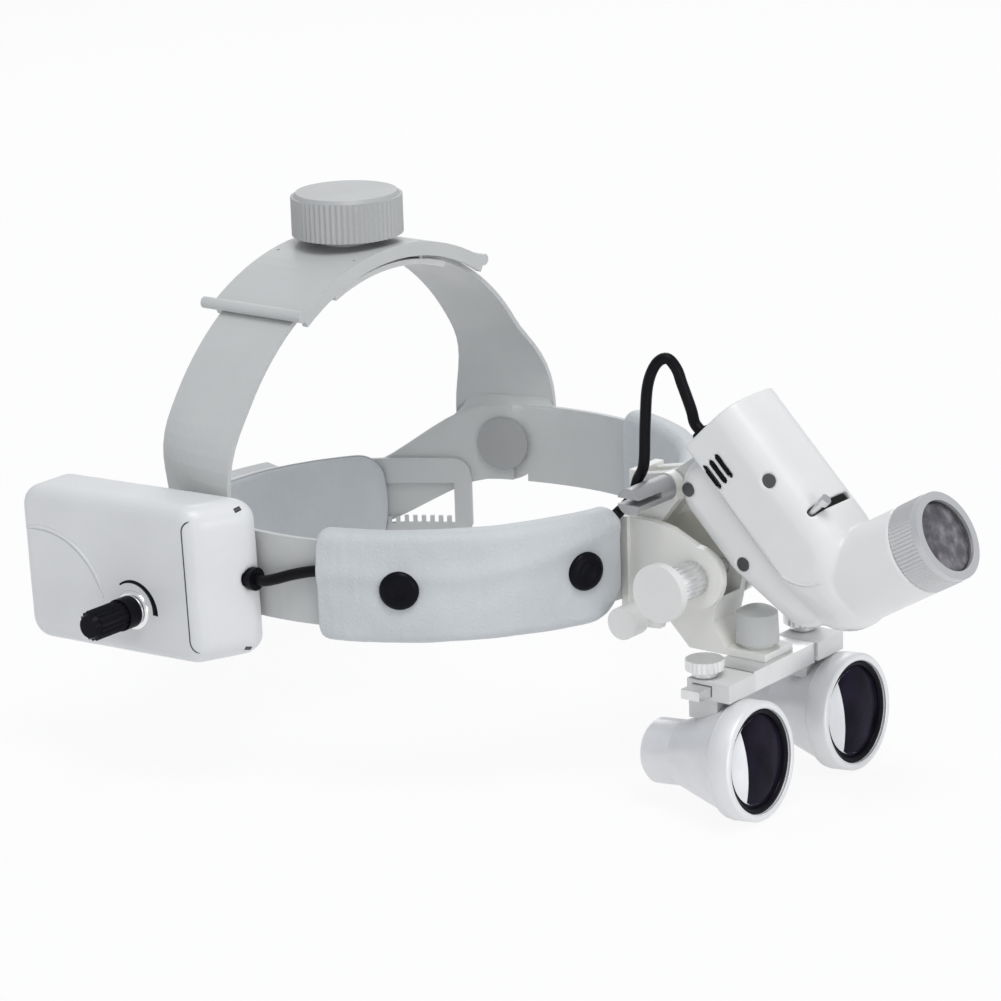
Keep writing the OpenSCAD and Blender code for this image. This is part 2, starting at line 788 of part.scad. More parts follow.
module dimmer_board() {
    color("green") at_box()
        translate([box_wall + 0.6, dimmer_y - 14, -box_h / 2 + box_wall + 6])
            difference() {
                cube([1, 34, 17]);
                translate([-1, 14, dimmer_z + box_h / 2 - box_wall - 6])
                    rotate([0, 90, 0]) cylinder(r = dimmer_pin_r + 0.6, h = 4);
            }
}

module dimmer_pot() {
    color("gray") at_box() dimmer_axis() {
        translate([0, 0, box_wall + 1.65]) cylinder(r = 4.2, h = 0.3);
        translate([0, 0, -6]) cylinder(r = dimmer_pin_r, h = box_wall + 7.8);
    }
}

module dimmer_ring() {
    color("silver") at_box() dimmer_axis() difference() {
        union() {
            translate([0, 0, -1.6]) cylinder(r = dimmer_r - 0.1, h = 1.6);
            translate([0, 0, -0.5]) cylinder(r = 3.5, h = box_wall + 0.5);
        }
        translate([0, 0, -3]) cylinder(r = dimmer_pin_r + pass_gap, h = box_wall + 6);
    }
}

module dimmer_knob() {
    clear = 1.6 + pass_gap;
    taper = 0.9;
    color("black") at_box() dimmer_axis() mirror([0, 0, 1]) difference() {
        union() {
            translate([0, 0, clear]) cylinder(r = dimmer_r, h = 5);
            translate([0, 0, clear + 4.9])
                linear_extrude(dimmer_l - clear - 6.4) ridged(18, dimmer_r - 0.3, 0.5);
            translate([0, 0, dimmer_l - 1.6])
                cylinder(r1 = dimmer_r - 0.8, r2 = dimmer_r - 0.8 - taper, h = 1.6);
        }
        cylinder(r = dimmer_pin_r + turn_gap, h = 6.3);
    }
}

socket_x = box_w - 8;
socket_z = -14;
socket_depth = 9;
module charging_socket() {
    color("dimgray") at_box()
        translate([socket_x, box_l + 0.4, socket_z]) rotate([90, 0, 0]) difference() {
            union() {
                cylinder(r = socket_r + 2.6, h = 0.4);
                cylinder(r = socket_r + 1.45, h = socket_depth + 1.5);
            }
            translate([0, 0, -1]) cylinder(r = socket_r, h = socket_depth + 1);
        }
}

module box_grommet() {
    color("black") at_box()
        grommet_place() difference() {
            union() {
                translate([0, 0, -1.6]) cylinder(r = grommet_r + 0.7, h = 1.6);
                cylinder(r = grommet_r - 0.02, h = box_wall + 1);
            }
            translate([0, 0, 0.4]) cylinder(r = cable_d / 2, h = box_wall + 1);
        }
}

module box_screws() {
    color("dimgray") at_box() {
        box_fixings() {
            translate([0, 0, -1.5]) cylinder(r = 2.7, h = 1.4);
            translate([0, 0, -0.2]) cylinder(r = 1.45, h = box_wall + fixing_bite);
        }
    }
}

// Saddle between the box and the strap's root, with a pocket for the rivet's head
saddle_half = 9;
module box_saddle() {
    foot = strip_out + strip_t + 0.1;
    color("silver") difference() {
        intersection() {
            band(junction_a - 14, junction_a + 6.5, foot, foot + 16, -saddle_half, saddle_half);
            translate([-box_in + 0.05, 0, -saddle_half - 1]) cube([20, box_l, 2 * saddle_half + 2]);
        }
        on_band(junction_a) cylinder(r = rivet_head_r + 0.5, h = 4.2);
        at_box() box_fixings() cylinder(r = 1.5, h = box_wall + fixing_bite + 0.4);
    }
}

// ---- Cable ----

// Way of the lamp's cable: out of the box, along the band inside the right-hand
// sleeve, out of its front end, up in an arch and down into the lamp.
// Inside the sleeve, [angle along the band, height]
sleeve_route = [[76.5, 4.5], [70, 4.6], [60, 4.4], [50, 4], [40, 4.2], [30, 6], [20, 10], [13.5, 12.9]];
cable_out = half_t + cable_d / 2 + 0.1;
cable_route = concat(
    [[-90.6, 0.55, -0.1], [-90.6, -2.9, 0.02], [-89.8, -7, 1.2], [-87.4, -12.6, 3]],
    [for (p = sleeve_route) let(c = ring(p[0], cable_out)) [c.x, c.y, p[1]]],
    [[-14.9, -84, 15.5], [-14.4, -86.9, 18.4], [-13.8, -89.6, 22.2], [-13.6, -91, 27], [-14.6, -94.3, 33],
    [-15, -95.4, 46], [-14.6, -96.3, 58], [-13.8, -98.9, 65], [-12.5, -102.3, 67.2], [-11.3, -105, 64],
    [-10.5, -106.4, 59.2], [-9.7, -108, 54], [-9.2, -109, 50.4], [-9, -109.85, 46.9], [-9, -111.8, 44.92]]);

function spline(a, b, c, d, u) = 0.5 * (2 * b + (c - a) * u + (2 * a - 5 * b + 4 * c - d) * u * u
    + (3 * b - a - 3 * c + d) * u * u * u);
function smooth_route(p, n) = let(m = len(p) - 1) concat([for (i = [0:m - 1], k = [0:n - 1])
    spline(p[max(0, i - 1)], p[i], p[i + 1], p[min(m, i + 2)], k / n)], [p[m]]);
function tangent(p, i) = let(d = p[min(i + 1, len(p) - 1)] - p[max(i - 1, 0)]) d / norm(d);
// Each ring of the tube keeps the previous ring's sideways direction, so it doesn't twist
function sideways(p, i) = i == 0 ? let(v = cross(tangent(p, 0), [0, 0, 1])) v / norm(v)
    : let(t = tangent(p, i), s = sideways(p, i - 1), v = s - (s * t) * t) v / norm(v);

module lamp_cable() {
    path = smooth_route(cable_route, 3);
    color("black") skin([for (i = [0:len(path) - 1])
        let(s = sideways(path, i), u = cross(tangent(path, i), s))
        [for (a = [0:45:315]) path[i] + cable_d / 2 * (cos(a) * s - sin(a) * u)]]);
}

// ---- Front bracket ----

hub_f = front_r + hub_reach;
hinge_f = front_r + hinge_reach;
hub_pin_r = 2.5;
hinge_pin_r = 1.6;
cheek_out = cheek_gap + cheek_t;
lug_in = 3;
lug_out = 7;
height_f = front_r + 10;
height_z = -16.5;
plate_out = half_t + 0.05;

// Outline of a cheek, as [forward, up]
module cheek_outline() {
    f0 = front_r + 1.2;
    translate([hub_f, hub_z]) circle(r = nose_r);
    polygon([[f0, 13.2], [front_r + 12, 13.4], [front_r + 19, 12], [hub_f + 1, hub_z + nose_r],
        [hub_f + 1, hub_z - nose_r], [front_r + 19, -13], [height_f + 5.5, height_z],
        [height_f + 4, height_z - 5], [height_f - 3, height_z - 5.5], [f0, -16]]);
}

// Outline of a lug that carries the lamp's hinge
module lug_outline() {
    f0 = front_r + 1.2;
    translate([hinge_f, hinge_z]) circle(r = 4.6);
    polygon([[f0, 12], [f0, hinge_z + 2], [hinge_f, hinge_z + 4.6], [hinge_f + 4.5, hinge_z],
        [hinge_f + 4, hinge_z - 4], [front_r + 12, 12]]);
}

module front_bracket() {
    color("ivory") difference() {
        union() {
            band(-8, 8, plate_out, plate_out + 3, -half_h - 2, half_h);
            band(-4.8, 4.8, plate_out, plate_out + 3, half_h - 1, half_h + 14);
            for (x = [-cheek_out, cheek_gap]) side_plate(x, x + cheek_t) cheek_outline();
            for (x = [-lug_out, lug_in]) side_plate(x, x + lug_out - lug_in) lug_outline();
            side_plate(-cheek_out, cheek_out) translate([front_r + 2, height_z - 3.5]) square([7, 8]);
        }
        cross_shaft(-20, 20, hub_f, hub_z, hub_pin_r + turn_gap);
        cross_shaft(-20, 20, hinge_f, hinge_z, hinge_pin_r + turn_gap);
        cross_shaft(-20, -3, height_f, height_z, 2 + turn_gap);
        for (z = [-bracket_screw_z, bracket_screw_z])
            translate([0, -front_r - plate_out - 1, z]) rotate([90, 0, 0]) cylinder(r = bracket_screw_r, h = 8);
    }
}

module hub_pin() {
    color("silver") {
        cross_shaft(-cheek_out - 12, cheek_out + 0.2, hub_f, hub_z, hub_pin_r);
        cross_shaft(cheek_out + 0.1, cheek_out + 2.1, hub_f, hub_z, 5);
    }
}

// Pin of the lamp's hinge, with a slotted clamping barrel at its right-hand end
clamp_x = -27;
module hinge_pin() {
    color("silver") difference() {
        union() {
            cross_shaft(-lug_out - 6, lug_out + 0.2, hinge_f, hinge_z, hinge_pin_r);
            cross_shaft(lug_out + 0.1, lug_out + 1.6, hinge_f, hinge_z, 3.2);
            cross_shaft(clamp_x, -lug_out - 0.3, hinge_f, hinge_z, 4.2);
        }
        translate([clamp_x - 1, -hinge_f - 5, hinge_z - 1]) cube([13, 10, 2]);
    }
}

knob_x = -31;
module lock_knob() {
    stud_end = -cheek_out - pass_gap;
    color("white") difference() {
        union() {
            cross_shaft(knob_x, knob_x + 3.2, hub_f, hub_z, lock_r);
            translate([knob_x + 3.1, -hub_f, hub_z]) rotate([0, 90, 0])
                linear_extrude(stud_end - knob_x - 3.1) ridged(16, 5.4, 0.5);
        }
        cross_shaft(stud_end - 12.3, stud_end + 1, hub_f, hub_z, hub_pin_r + turn_gap);
    }
}

module height_knob() {
    face = -26;
    color("white") {
        cross_shaft(face, face + 7.4, height_f, height_z, 5.2);
        cross_shaft(face + 7.3, -4, height_f, height_z, 2);
    }
}

// ---- Lamp ----

elbow_f = hinge_f + elbow_reach;
elbow_z = hinge_z - elbow_fall;
elbow_r = tube_r + 0.9;
web_w = lamp_w / 2 - 2;
corner = 9;

// Body frame: Z up along the lamp body from the elbow, -Y towards its front face
module at_body() {
    translate([0, -elbow_f, elbow_z]) rotate([lamp_drop - 90, 0, 0]) children();
}

// Beam frame: Z along the beam from the elbow
module at_beam() {
    translate([0, -elbow_f, elbow_z]) rotate([90 - beam_up, 0, 0]) children();
}

pipe_back = 9;
// Section of the lamp body, inset by a wall
module pipe_section(inset) {
    w = lamp_w / 2 - inset;
    front = lamp_front - inset;
    r = corner - inset;
    translate([-w, -front + r]) square([2 * w, front - r + pipe_back - inset]);
    translate([-w + r, -front]) square([2 * (w - r), r + 1]);
    for (x = [-w + r, w - r]) translate([x, -front + r]) circle(r = r);
}

// Disc with rounded rims across the web, at a height s and a distance y behind the axis
module web_disc(s, y, r, inset) {
    w = web_w - inset;
    q = 5;
    translate([0, y, s]) rotate([0, 90, 0])
        rotate_extrude($fn = 32)
            polygon(concat([[0, -w], [0, w]],
                [for (a = [90:-30:0]) [r - inset - q + q * cos(a), w - q + q * sin(a)]],
                [for (a = [0:-30:-90]) [r - inset - q + q * cos(a), -w + q + q * sin(a)]]));
}

module lamp_form(inset) {
    top = body_l - inset;
    at_body() {
        translate([0, 0, 13]) linear_extrude(top - 13) pipe_section(inset);
        hull() {
            translate([0, 0, 12.6]) linear_extrude(0.5) pipe_section(inset + 0.15);
            sphere(r = elbow_r - inset, $fn = 32);
        }
        hull() {
            web_disc(body_l - 15, web_back - 11, 11, inset);
            web_disc(26, web_back - 10, 10, inset);
            web_disc(body_l - 18, 4, 11, inset);
            web_disc(5, 9, 11.5, inset);
        }
    }
    at_beam() cylinder(r = tube_r - inset, h = tube_l);
}

slot_s = 21.5;
slot_h = 2.6;
lever_x = -10;
lever_travel = 11.5;
slide_t = 1.2;

module lamp_hollow() {
    lamp_form(lamp_wall);
    at_beam() cylinder(r = tube_r - lamp_wall, h = tube_l + 1);
    at_body() {
        // Slot for the filter lever, across the front face
        translate([lever_x - 1.6, -lamp_front - 2, slot_s - slot_h / 2])
            cube([lever_travel + 9, 12, slot_h]);
        // Cooling slots in both sides
        for (y = [1.4, 4.4, 7.4])
            translate([-lamp_w, y - 0.7, body_l - 17.4]) cube([2 * lamp_w, 1.4, 8.6]);
        translate([grommet_at.x, grommet_at.y, body_l - lamp_wall - 2]) cylinder(r = 3, h = 8);
        // Slot for the hinge tab
        translate([-tab_w - 0.1, web_back - 13, tab_s - 10]) cube([2 * tab_w + 0.2, 17, 15]);
        lamp_screw_places() {
            translate([0, 0, -1]) cylinder(r = 2.3, h = 2.5);
            cylinder(r = 1.2, h = 4);
        }
    }
}

grommet_at = [-9, 4.4];
tab_w = 2.4;
// Height of the hinge along the lamp body
tab_s = elbow_reach * cos(lamp_drop) + elbow_fall * sin(lamp_drop);
tab_y = elbow_reach * sin(lamp_drop) - elbow_fall * cos(lamp_drop);

// Screws through the right-hand shell, drawn inwards from its face: [height, behind the axis]
screw_places = [[body_l - 10, 19.5], [body_l - 26, -8.5], [24, 19.5]];
module lamp_screw_places() {
    for (p = screw_places)
        translate([-(p[1] > 9 ? web_w : lamp_w / 2), p[1], p[0]]) rotate([0, 90, 0]) children();
}

module lamp_shell(side) {
    color("white") intersection() {
        difference() {
            lamp_form(0);
            lamp_hollow();
        }
        translate([side > 0 ? 0 : -50, -elbow_f - 60, elbow_z - 40]) cube([50, 140, 130]);
    }
}

module lamp_shell_left() {
    lamp_shell(1);
}

module lamp_shell_right() {
    lamp_shell(-1);
}

// Point of the lamp body's frame as [forward, up]
function body_point(s, y) = [elbow_f - s * cos(lamp_drop) - y * sin(lamp_drop),
    elbow_z + s * sin(lamp_drop) - y * cos(lamp_drop)];

module lamp_tab() {
    color("gray") difference() {
        union() {
            cross_shaft(-tab_w, tab_w, hinge_f, hinge_z, 4.4);
            side_plate(-tab_w, tab_w)
                polygon([body_point(tab_s + 3.5, tab_y), body_point(tab_s + 1, web_back - 12),
                    body_point(tab_s - 9, web_back - 6), body_point(tab_s - 3.5, tab_y)]);
        }
        cross_shaft(-10, 10, hinge_f, hinge_z, hinge_pin_r + turn_gap);
    }
}

spigot_r = 12.9;
module lamp_collar() {
    color("silver") at_beam() difference() {
        union() {
            translate([0, 0, tube_l - 8]) cylinder(r = tube_r - lamp_wall - 0.05, h = 8.1);
            translate([0, 0, tube_l + 0.05]) cylinder(r = spigot_r, h = focus_l - 5);
        }
        translate([0, 0, tube_l - 9]) cylinder(r = spigot_r - 1.7, h = focus_l + 6);
    }
}

module focus_ring() {
    start = tube_l + pass_gap;
    color("silver") at_beam() difference() {
        union() {
            translate([0, 0, start]) linear_extrude(focus_l - 2.4) ridged(72, tube_r, 0.35);
            translate([0, 0, start + focus_l - 2.5]) cylinder(r = tube_r - 0.2, h = 2.5);
        }
        translate([0, 0, start - 1]) cylinder(r = spigot_r + turn_gap, h = focus_l - 3);
        translate([0, 0, start + focus_l - 4.1]) cylinder(r = lamp_lens_r + 0.4, h = 3);
        cylinder(r = lamp_lens_r - 0.3, h = start + focus_l + 1);
    }
}

module lamp_lens() {
    color("lightblue") at_beam()
        translate([0, 0, tube_l + pass_gap + focus_l - 4]) cylinder(r = lamp_lens_r + 0.35, h = 2.8);
}

module led_module() {
    fin = 1.2;
    color("silver") at_body() {
        translate([-2, -2, body_l - 17.8]) cube([4, 4, 0.9]);
        translate([-8, -6, body_l - 17]) cube([16, 12, 3.7]);
        for (x = [-8 : 3.7 : 7]) translate([x, -6, body_l - 13.4]) cube([fin, 12, 7.4]);
    }
}

module condenser_lens() {
    color("lightblue") at_body()
        translate([0, 0, 33]) {
            cylinder(r = 9, h = 3);
            translate([0, 0, 2.9]) cylinder(r1 = 9, r2 = 4, h = 4);
        }
}

module lamp_mirror() {
    turn = (lamp_drop - 90 + 90 - beam_up) / 2;
    color("gainsboro") translate([0, -elbow_f, elbow_z]) rotate([turn, 0, 0])
        translate([-6.5, -7, -6]) cube([13, 14, 1.4]);
}

module filter_slide() {
    color("silver") at_body() {
        difference() {
            translate([-12.1, -5.4, slot_s - slide_t / 2]) cube([12.2, 11.4, slide_t]);
            translate([-6, 0.4, slot_s - 2]) cylinder(r = 4.4, h = 4);
        }
        translate([lever_x, -5, slot_s]) rotate([90, 0, 0]) {
            cylinder(r = 1, h = 12);
            translate([0, 0, 11.9]) cylinder(r = 1.7, h = 2.2);
        }
    }
}

module lamp_grommet() {
    color("black") at_body() translate([grommet_at.x, grommet_at.y, body_l]) {
        difference() {
            union() {
                cylinder(r1 = 3.4, r2 = 2.9, h = 1.4);
                translate([0, 0, -lamp_wall - 1]) cylinder(r = 2.95, h = lamp_wall + 1.1);
            }
            translate([0, 0, -lamp_wall - 2]) cylinder(r = cable_d / 2 - 0.4, h = lamp_wall + 2.4);
        }
    }
}

module lamp_screws() {
    color("dimgray") at_body() lamp_screw_places() {
        translate([0, 0, 0.5]) cylinder(r = 2.2, h = 0.9);
        translate([0, 0, 1.3]) cylinder(r = 1.1, h = 2.2);
    }
}

// ---- Loupes ----

bar_f = hub_f + 18;
bar_z = hub_z - 27.2;
bar_d = 16;
bar_h = 5.4;
bar_skirt = 1.2;
bar_half = 17;
rail_half = 38.5;
rail_d = 6.8;
rail_back = 1;
rail_h = 3;
arm_half = cheek_gap - pass_gap;
foot_t = 2.4;
foot_top = bar_z + bar_h / 2 + foot_t;
bridge_f = hub_f + 16;
bridge_pin_r = 2;
objective_f = hub_f + objective_reach;
objective_z = hub_z - objective_fall;
block_x = objective_gap / 2 - 2.5;
thumb_x = block_x + 2.5;
block_h = 5.8;
block_front = bar_f + 9;
block_back = bar_f - 6.6;
block_top = bar_z - 0.4 + block_h / 2;
thumb_f = bar_f - 3.2;
thumb_pin_r = 2;

module arm_outline() {
    low = bar_z + bar_h / 2;
    translate([hub_f, hub_z]) circle(r = 8);
    polygon([[hub_f - 6.5, hub_z - 4], [hub_f - 12, hub_z - 17], [hub_f - 4.5, low], [bar_f + 6, low],
        [bar_f + 6, foot_top], [hub_f + 9, foot_top], [hub_f + 4.5, hub_z - 15], [hub_f + 7.8, hub_z - 1]]);
}

module loupe_arm() {
    color("ivory") difference() {
        union() {
            side_plate(-arm_half, arm_half) arm_outline();
            translate([0, -bridge_f, foot_top - 0.1]) cylinder(r = 5.2, h = 1.3);
        }
        cross_shaft(-20, 20, hub_f, hub_z, hub_pin_r + turn_gap);
        translate([0, -bridge_f, bar_z]) cylinder(r = bridge_pin_r + turn_gap, h = 20);
        // The upper part is a fork with an open middle
        side_plate(-arm_half + 3, arm_half - 3)
            polygon([[hub_f - 7, hub_z + 9], [hub_f - 7, hub_z - 12], [hub_f + 4.4, hub_z - 12],
                [hub_f + 9, hub_z], [hub_f + 9, hub_z + 9]]);
    }
}

module crossbar() {
    color("gainsboro") translate([0, -bar_f, bar_z]) difference() {
        union() {
            translate([-bar_half, -bar_d / 2, -bar_h / 2 - bar_skirt])
                cube([2 * bar_half, bar_d, bar_skirt + bar_h - 0.05]);
            translate([-rail_half, rail_back - rail_d / 2, -rail_h / 2 - 0.4])
                cube([2 * rail_half, rail_d, rail_h]);
        }
        translate([0, bar_f - bridge_f, -bar_h]) cylinder(r = bridge_pin_r + turn_gap, h = 2 * bar_h);
    }
}

module bridge_knob() {
    low = foot_top + 1.2 + pass_gap;
    color("gray") translate([0, -bridge_f, 0]) {
        translate([0, 0, low]) cylinder(r1 = 6.9, r2 = 6.5, h = 9.4);
        translate([0, 0, low + 9.3])
            rotate_extrude()
                intersection() {
                    square([6.5, 2.4]);
                    translate([0, -7.9]) circle(r = 10.3, $fn = 64);
                }
        translate([0, 0, bar_z - bar_h / 2 + 0.4]) cylinder(r = bridge_pin_r, h = low - bar_z + bar_h / 2);
    }
}

// Barrel frame on the wearer's left: Z along the optical axis from the objective to the eye
module at_barrel() {
    translate([objective_gap / 2, -objective_f, objective_z])
        rotate([-90 - barrel_up, 0, -toe_in])
            children();
}

module slide_block() {
    wall = 3.2;
    color("gainsboro") difference() {
        union() {
            translate([block_x - block_w / 2, -block_front, block_top - block_h])
                cube([block_w, block_front - block_back, block_h]);
            translate([block_x - block_w / 2 + 0.8, -bar_f - 4, objective_z + eye_r + 1])
                cube([block_w - 1.6, 10.6, block_top - block_h - objective_z - eye_r]);
        }
        translate([0, rail_back - bar_f - rail_d / 2 - pass_gap, bar_z - 0.4 - rail_h / 2 - pass_gap])
            cube([60, rail_d + 2 * pass_gap, rail_h + 2 * pass_gap]);
        translate([thumb_x, -thumb_f, bar_z]) cylinder(r = thumb_pin_r + turn_gap, h = 20);
        at_barrel() barrel_outside(0.03);
    }
}

// Length of the objective's ring and of the parallel eye end
ring_l = 7.5;
eye_l = 11;
ring_step = 0.9;
module barrel_outside(grow) {
    translate([0, 0, -1]) cylinder(r = ring_r + grow, h = ring_l + 1);
    translate([0, 0, ring_l - 0.01])
        cylinder(r1 = ring_r - ring_step + grow, r2 = eye_r + grow, h = barrel_l - eye_l - ring_l + 0.02);
    translate([0, 0, barrel_l - eye_l]) cylinder(r = eye_r + grow, h = eye_l);
}

lens_edge = 0.9;
module barrel() {
    wall = 1.3;
    color("gainsboro") at_barrel() rotate_extrude($fn = 64)
        polygon([[objective_r, 0], [ring_r - 0.6, 0], [ring_r, 0.6], [ring_r, ring_l],
            [ring_r - ring_step, ring_l], [eye_r, barrel_l - eye_l], [eye_r, barrel_l - 1.5], [eye_r - 1.2, barrel_l], [7.6, barrel_l],
            [7.6, barrel_l - 1.4], [eye_r - wall, barrel_l - 2.4], [eye_r - wall, barrel_l - eye_l],
            [objective_r - 0.8, ring_l + 1], [objective_r + lens_edge, ring_l], [objective_r + lens_edge, 1.2],
            [objective_r, 1.2]]);
}

module objective_lens() {
    color("slateblue") at_barrel() translate([0, 0, 1.4]) {
        cylinder(r = objective_r + lens_edge - 0.05, h = 4.8, $fn = 64);
    }
}

module eye_lens() {
    color("lightblue") at_barrel() translate([0, 0, barrel_l - 5.6])
        cylinder(r = eye_r - 1.35, h = 3.1);
}

module thumb_screw() {
    color("silver") translate([thumb_x, -thumb_f, 0]) {
        translate([0, 0, block_top + 2.2]) linear_extrude(3.4) ridged(24, thumb_r, 0.4);
        translate([0, 0, block_top + pass_gap]) cylinder(r = 4, h = 2.2 - pass_gap + 0.1);
        translate([0, 0, bar_z - 0.4 + rail_h / 2 + pass_gap])
            cylinder(r = thumb_pin_r, h = block_top + 1 - bar_z - rail_h / 2);
    }
}

module slide_block_left() {
    slide_block();
}

module slide_block_right() {
    mirror([1, 0, 0]) slide_block();
}

module barrel_left() {
    barrel();
}

module barrel_right() {
    mirror([1, 0, 0]) barrel();
}

module objective_lens_left() {
    objective_lens();
}

module objective_lens_right() {
    mirror([1, 0, 0]) objective_lens();
}

module eye_lens_left() {
    eye_lens();
}

module eye_lens_right() {
    mirror([1, 0, 0]) eye_lens();
}

module thumb_screw_left() {
    thumb_screw();
}

module thumb_screw_right() {
    mirror([1, 0, 0]) thumb_screw();
}

// ---- Assembly ----

headband();
crown_strap_left();
crown_strap_right();
rear_arm_left();
rear_arm_right();
junction_rivets();
crown_cover();
crown_plate();
crown_knob();
crown_pinion();
nape_housing();
nape_plate();
nape_knob();
nape_pinion();
forehead_pad_left();
forehead_pad_right();
nape_pad();
snap_caps();
box_saddle();
box_inner_case();
box_outer_case();
battery_cells();
dimmer_board();
dimmer_pot();
dimmer_ring();
dimmer_knob();
charging_socket();
box_grommet();
box_screws();
lamp_cable();
front_bracket();
hinge_pin();
hub_pin();
lock_knob();
height_knob();
lamp_shell_left();
lamp_shell_right();
lamp_tab();
lamp_collar();
led_module();
condenser_lens();
lamp_mirror();
filter_slide();
focus_ring();
lamp_lens();
lamp_grommet();
lamp_screws();
loupe_arm();
crossbar();
bridge_knob();
slide_block_left();
slide_block_right();
thumb_screw_left();
thumb_screw_right();
barrel_left();
barrel_right();
objective_lens_left();
objective_lens_right();
eye_lens_left();
eye_lens_right();
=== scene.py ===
import math
import bpy
import bmesh
from mathutils import Vector, Matrix, noise
from mathutils.bvhtree import BVHTree


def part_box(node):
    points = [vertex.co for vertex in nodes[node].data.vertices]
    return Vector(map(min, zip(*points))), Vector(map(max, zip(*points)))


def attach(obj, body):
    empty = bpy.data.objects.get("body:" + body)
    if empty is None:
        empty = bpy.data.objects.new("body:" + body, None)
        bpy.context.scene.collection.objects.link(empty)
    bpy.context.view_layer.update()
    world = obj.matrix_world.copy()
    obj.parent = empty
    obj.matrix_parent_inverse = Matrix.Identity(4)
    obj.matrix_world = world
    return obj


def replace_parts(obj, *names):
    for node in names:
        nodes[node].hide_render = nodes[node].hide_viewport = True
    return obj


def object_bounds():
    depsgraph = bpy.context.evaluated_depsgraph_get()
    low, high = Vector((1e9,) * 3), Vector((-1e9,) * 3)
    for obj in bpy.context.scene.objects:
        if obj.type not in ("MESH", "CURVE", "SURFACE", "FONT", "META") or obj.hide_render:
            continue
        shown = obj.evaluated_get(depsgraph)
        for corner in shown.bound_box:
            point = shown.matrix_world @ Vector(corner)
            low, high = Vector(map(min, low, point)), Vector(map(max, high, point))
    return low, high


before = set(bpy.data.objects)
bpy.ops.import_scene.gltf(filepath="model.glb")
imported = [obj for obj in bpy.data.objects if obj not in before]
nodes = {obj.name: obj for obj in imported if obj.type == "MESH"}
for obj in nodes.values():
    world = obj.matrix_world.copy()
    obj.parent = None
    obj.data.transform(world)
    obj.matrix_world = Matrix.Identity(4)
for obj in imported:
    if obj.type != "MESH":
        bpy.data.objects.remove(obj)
cad_lo, cad_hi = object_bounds()

mm = 0.001
X_AXIS = (1, 0, 0)

# ---- Sizes of the CAD frame, in metres and degrees ----
# Half axes of the head opening's oval: to the side, to the front and to the rear
SIDE, FRONT, REAR = 0.0845, 0.0825, 0.095
# Headband: height, and half its thickness
BAND_H, HALF_T = 0.0275, 0.0009
# Forehead pads: height, reach out of and into the oval, first and last angle
PAD_H, PAD_OUT, PAD_IN, PAD_A0, PAD_A1 = 0.036, 0.0053, 0.0042, 10.5, 76.5
# Half the angle that the nape pad spans, and the angles of the press studs
NAPE_A = 43.0
SNAP_A = (19.5, 59.0)
# Lamp: elbow where body and tube meet, rise of the beam, tube and focus ring lengths
ELBOW = Vector((0, -0.1598, 0.0015))
BEAM = math.radians(30)
TUBE_L, FOCUS_L = 0.0295, 0.011


def ring(t, out=0.0):
    """Point of the oval at t degrees from the forehead, towards the wearer's right."""
    a = math.radians(t)
    depth = FRONT if math.cos(a) >= 0 else REAR
    n = Vector((-math.sin(a) / SIDE, -math.cos(a) / depth, 0)).normalized()
    return Vector((-SIDE * math.sin(a), -depth * math.cos(a), 0)) + out * n


# ---- Camera ----
FRAME_PX, FOCAL_PX, SENSOR_MM = 1001, 3997.87, 36
CAMERA_AT = (-0.98329, -0.79292, 0.36928)
CAMERA_TURN = (-52.05, -16.2, -1.83)

cam_data = bpy.data.cameras.new("camera")
cam = bpy.data.objects.new("camera", cam_data)
bpy.context.scene.collection.objects.link(cam)
cam_data.sensor_width = SENSOR_MM
cam_data.lens = FOCAL_PX / FRAME_PX * SENSOR_MM
cam_data.clip_end = 20
yaw, pitch, roll = (math.radians(v) for v in CAMERA_TURN)
fwd = Vector((-math.sin(yaw) * math.cos(pitch), math.cos(yaw) * math.cos(pitch), math.sin(pitch)))
right = fwd.cross(Vector((0, 0, 1))).normalized()
up = right.cross(fwd)
r2 = right * math.cos(roll) + up * math.sin(roll)
u2 = -right * math.sin(roll) + up * math.cos(roll)
cam.matrix_world = Matrix.Translation(CAMERA_AT) @ Matrix(
    ((r2.x, u2.x, -fwd.x), (r2.y, u2.y, -fwd.y), (r2.z, u2.z, -fwd.z))).to_4x4()
bpy.context.scene.camera = cam


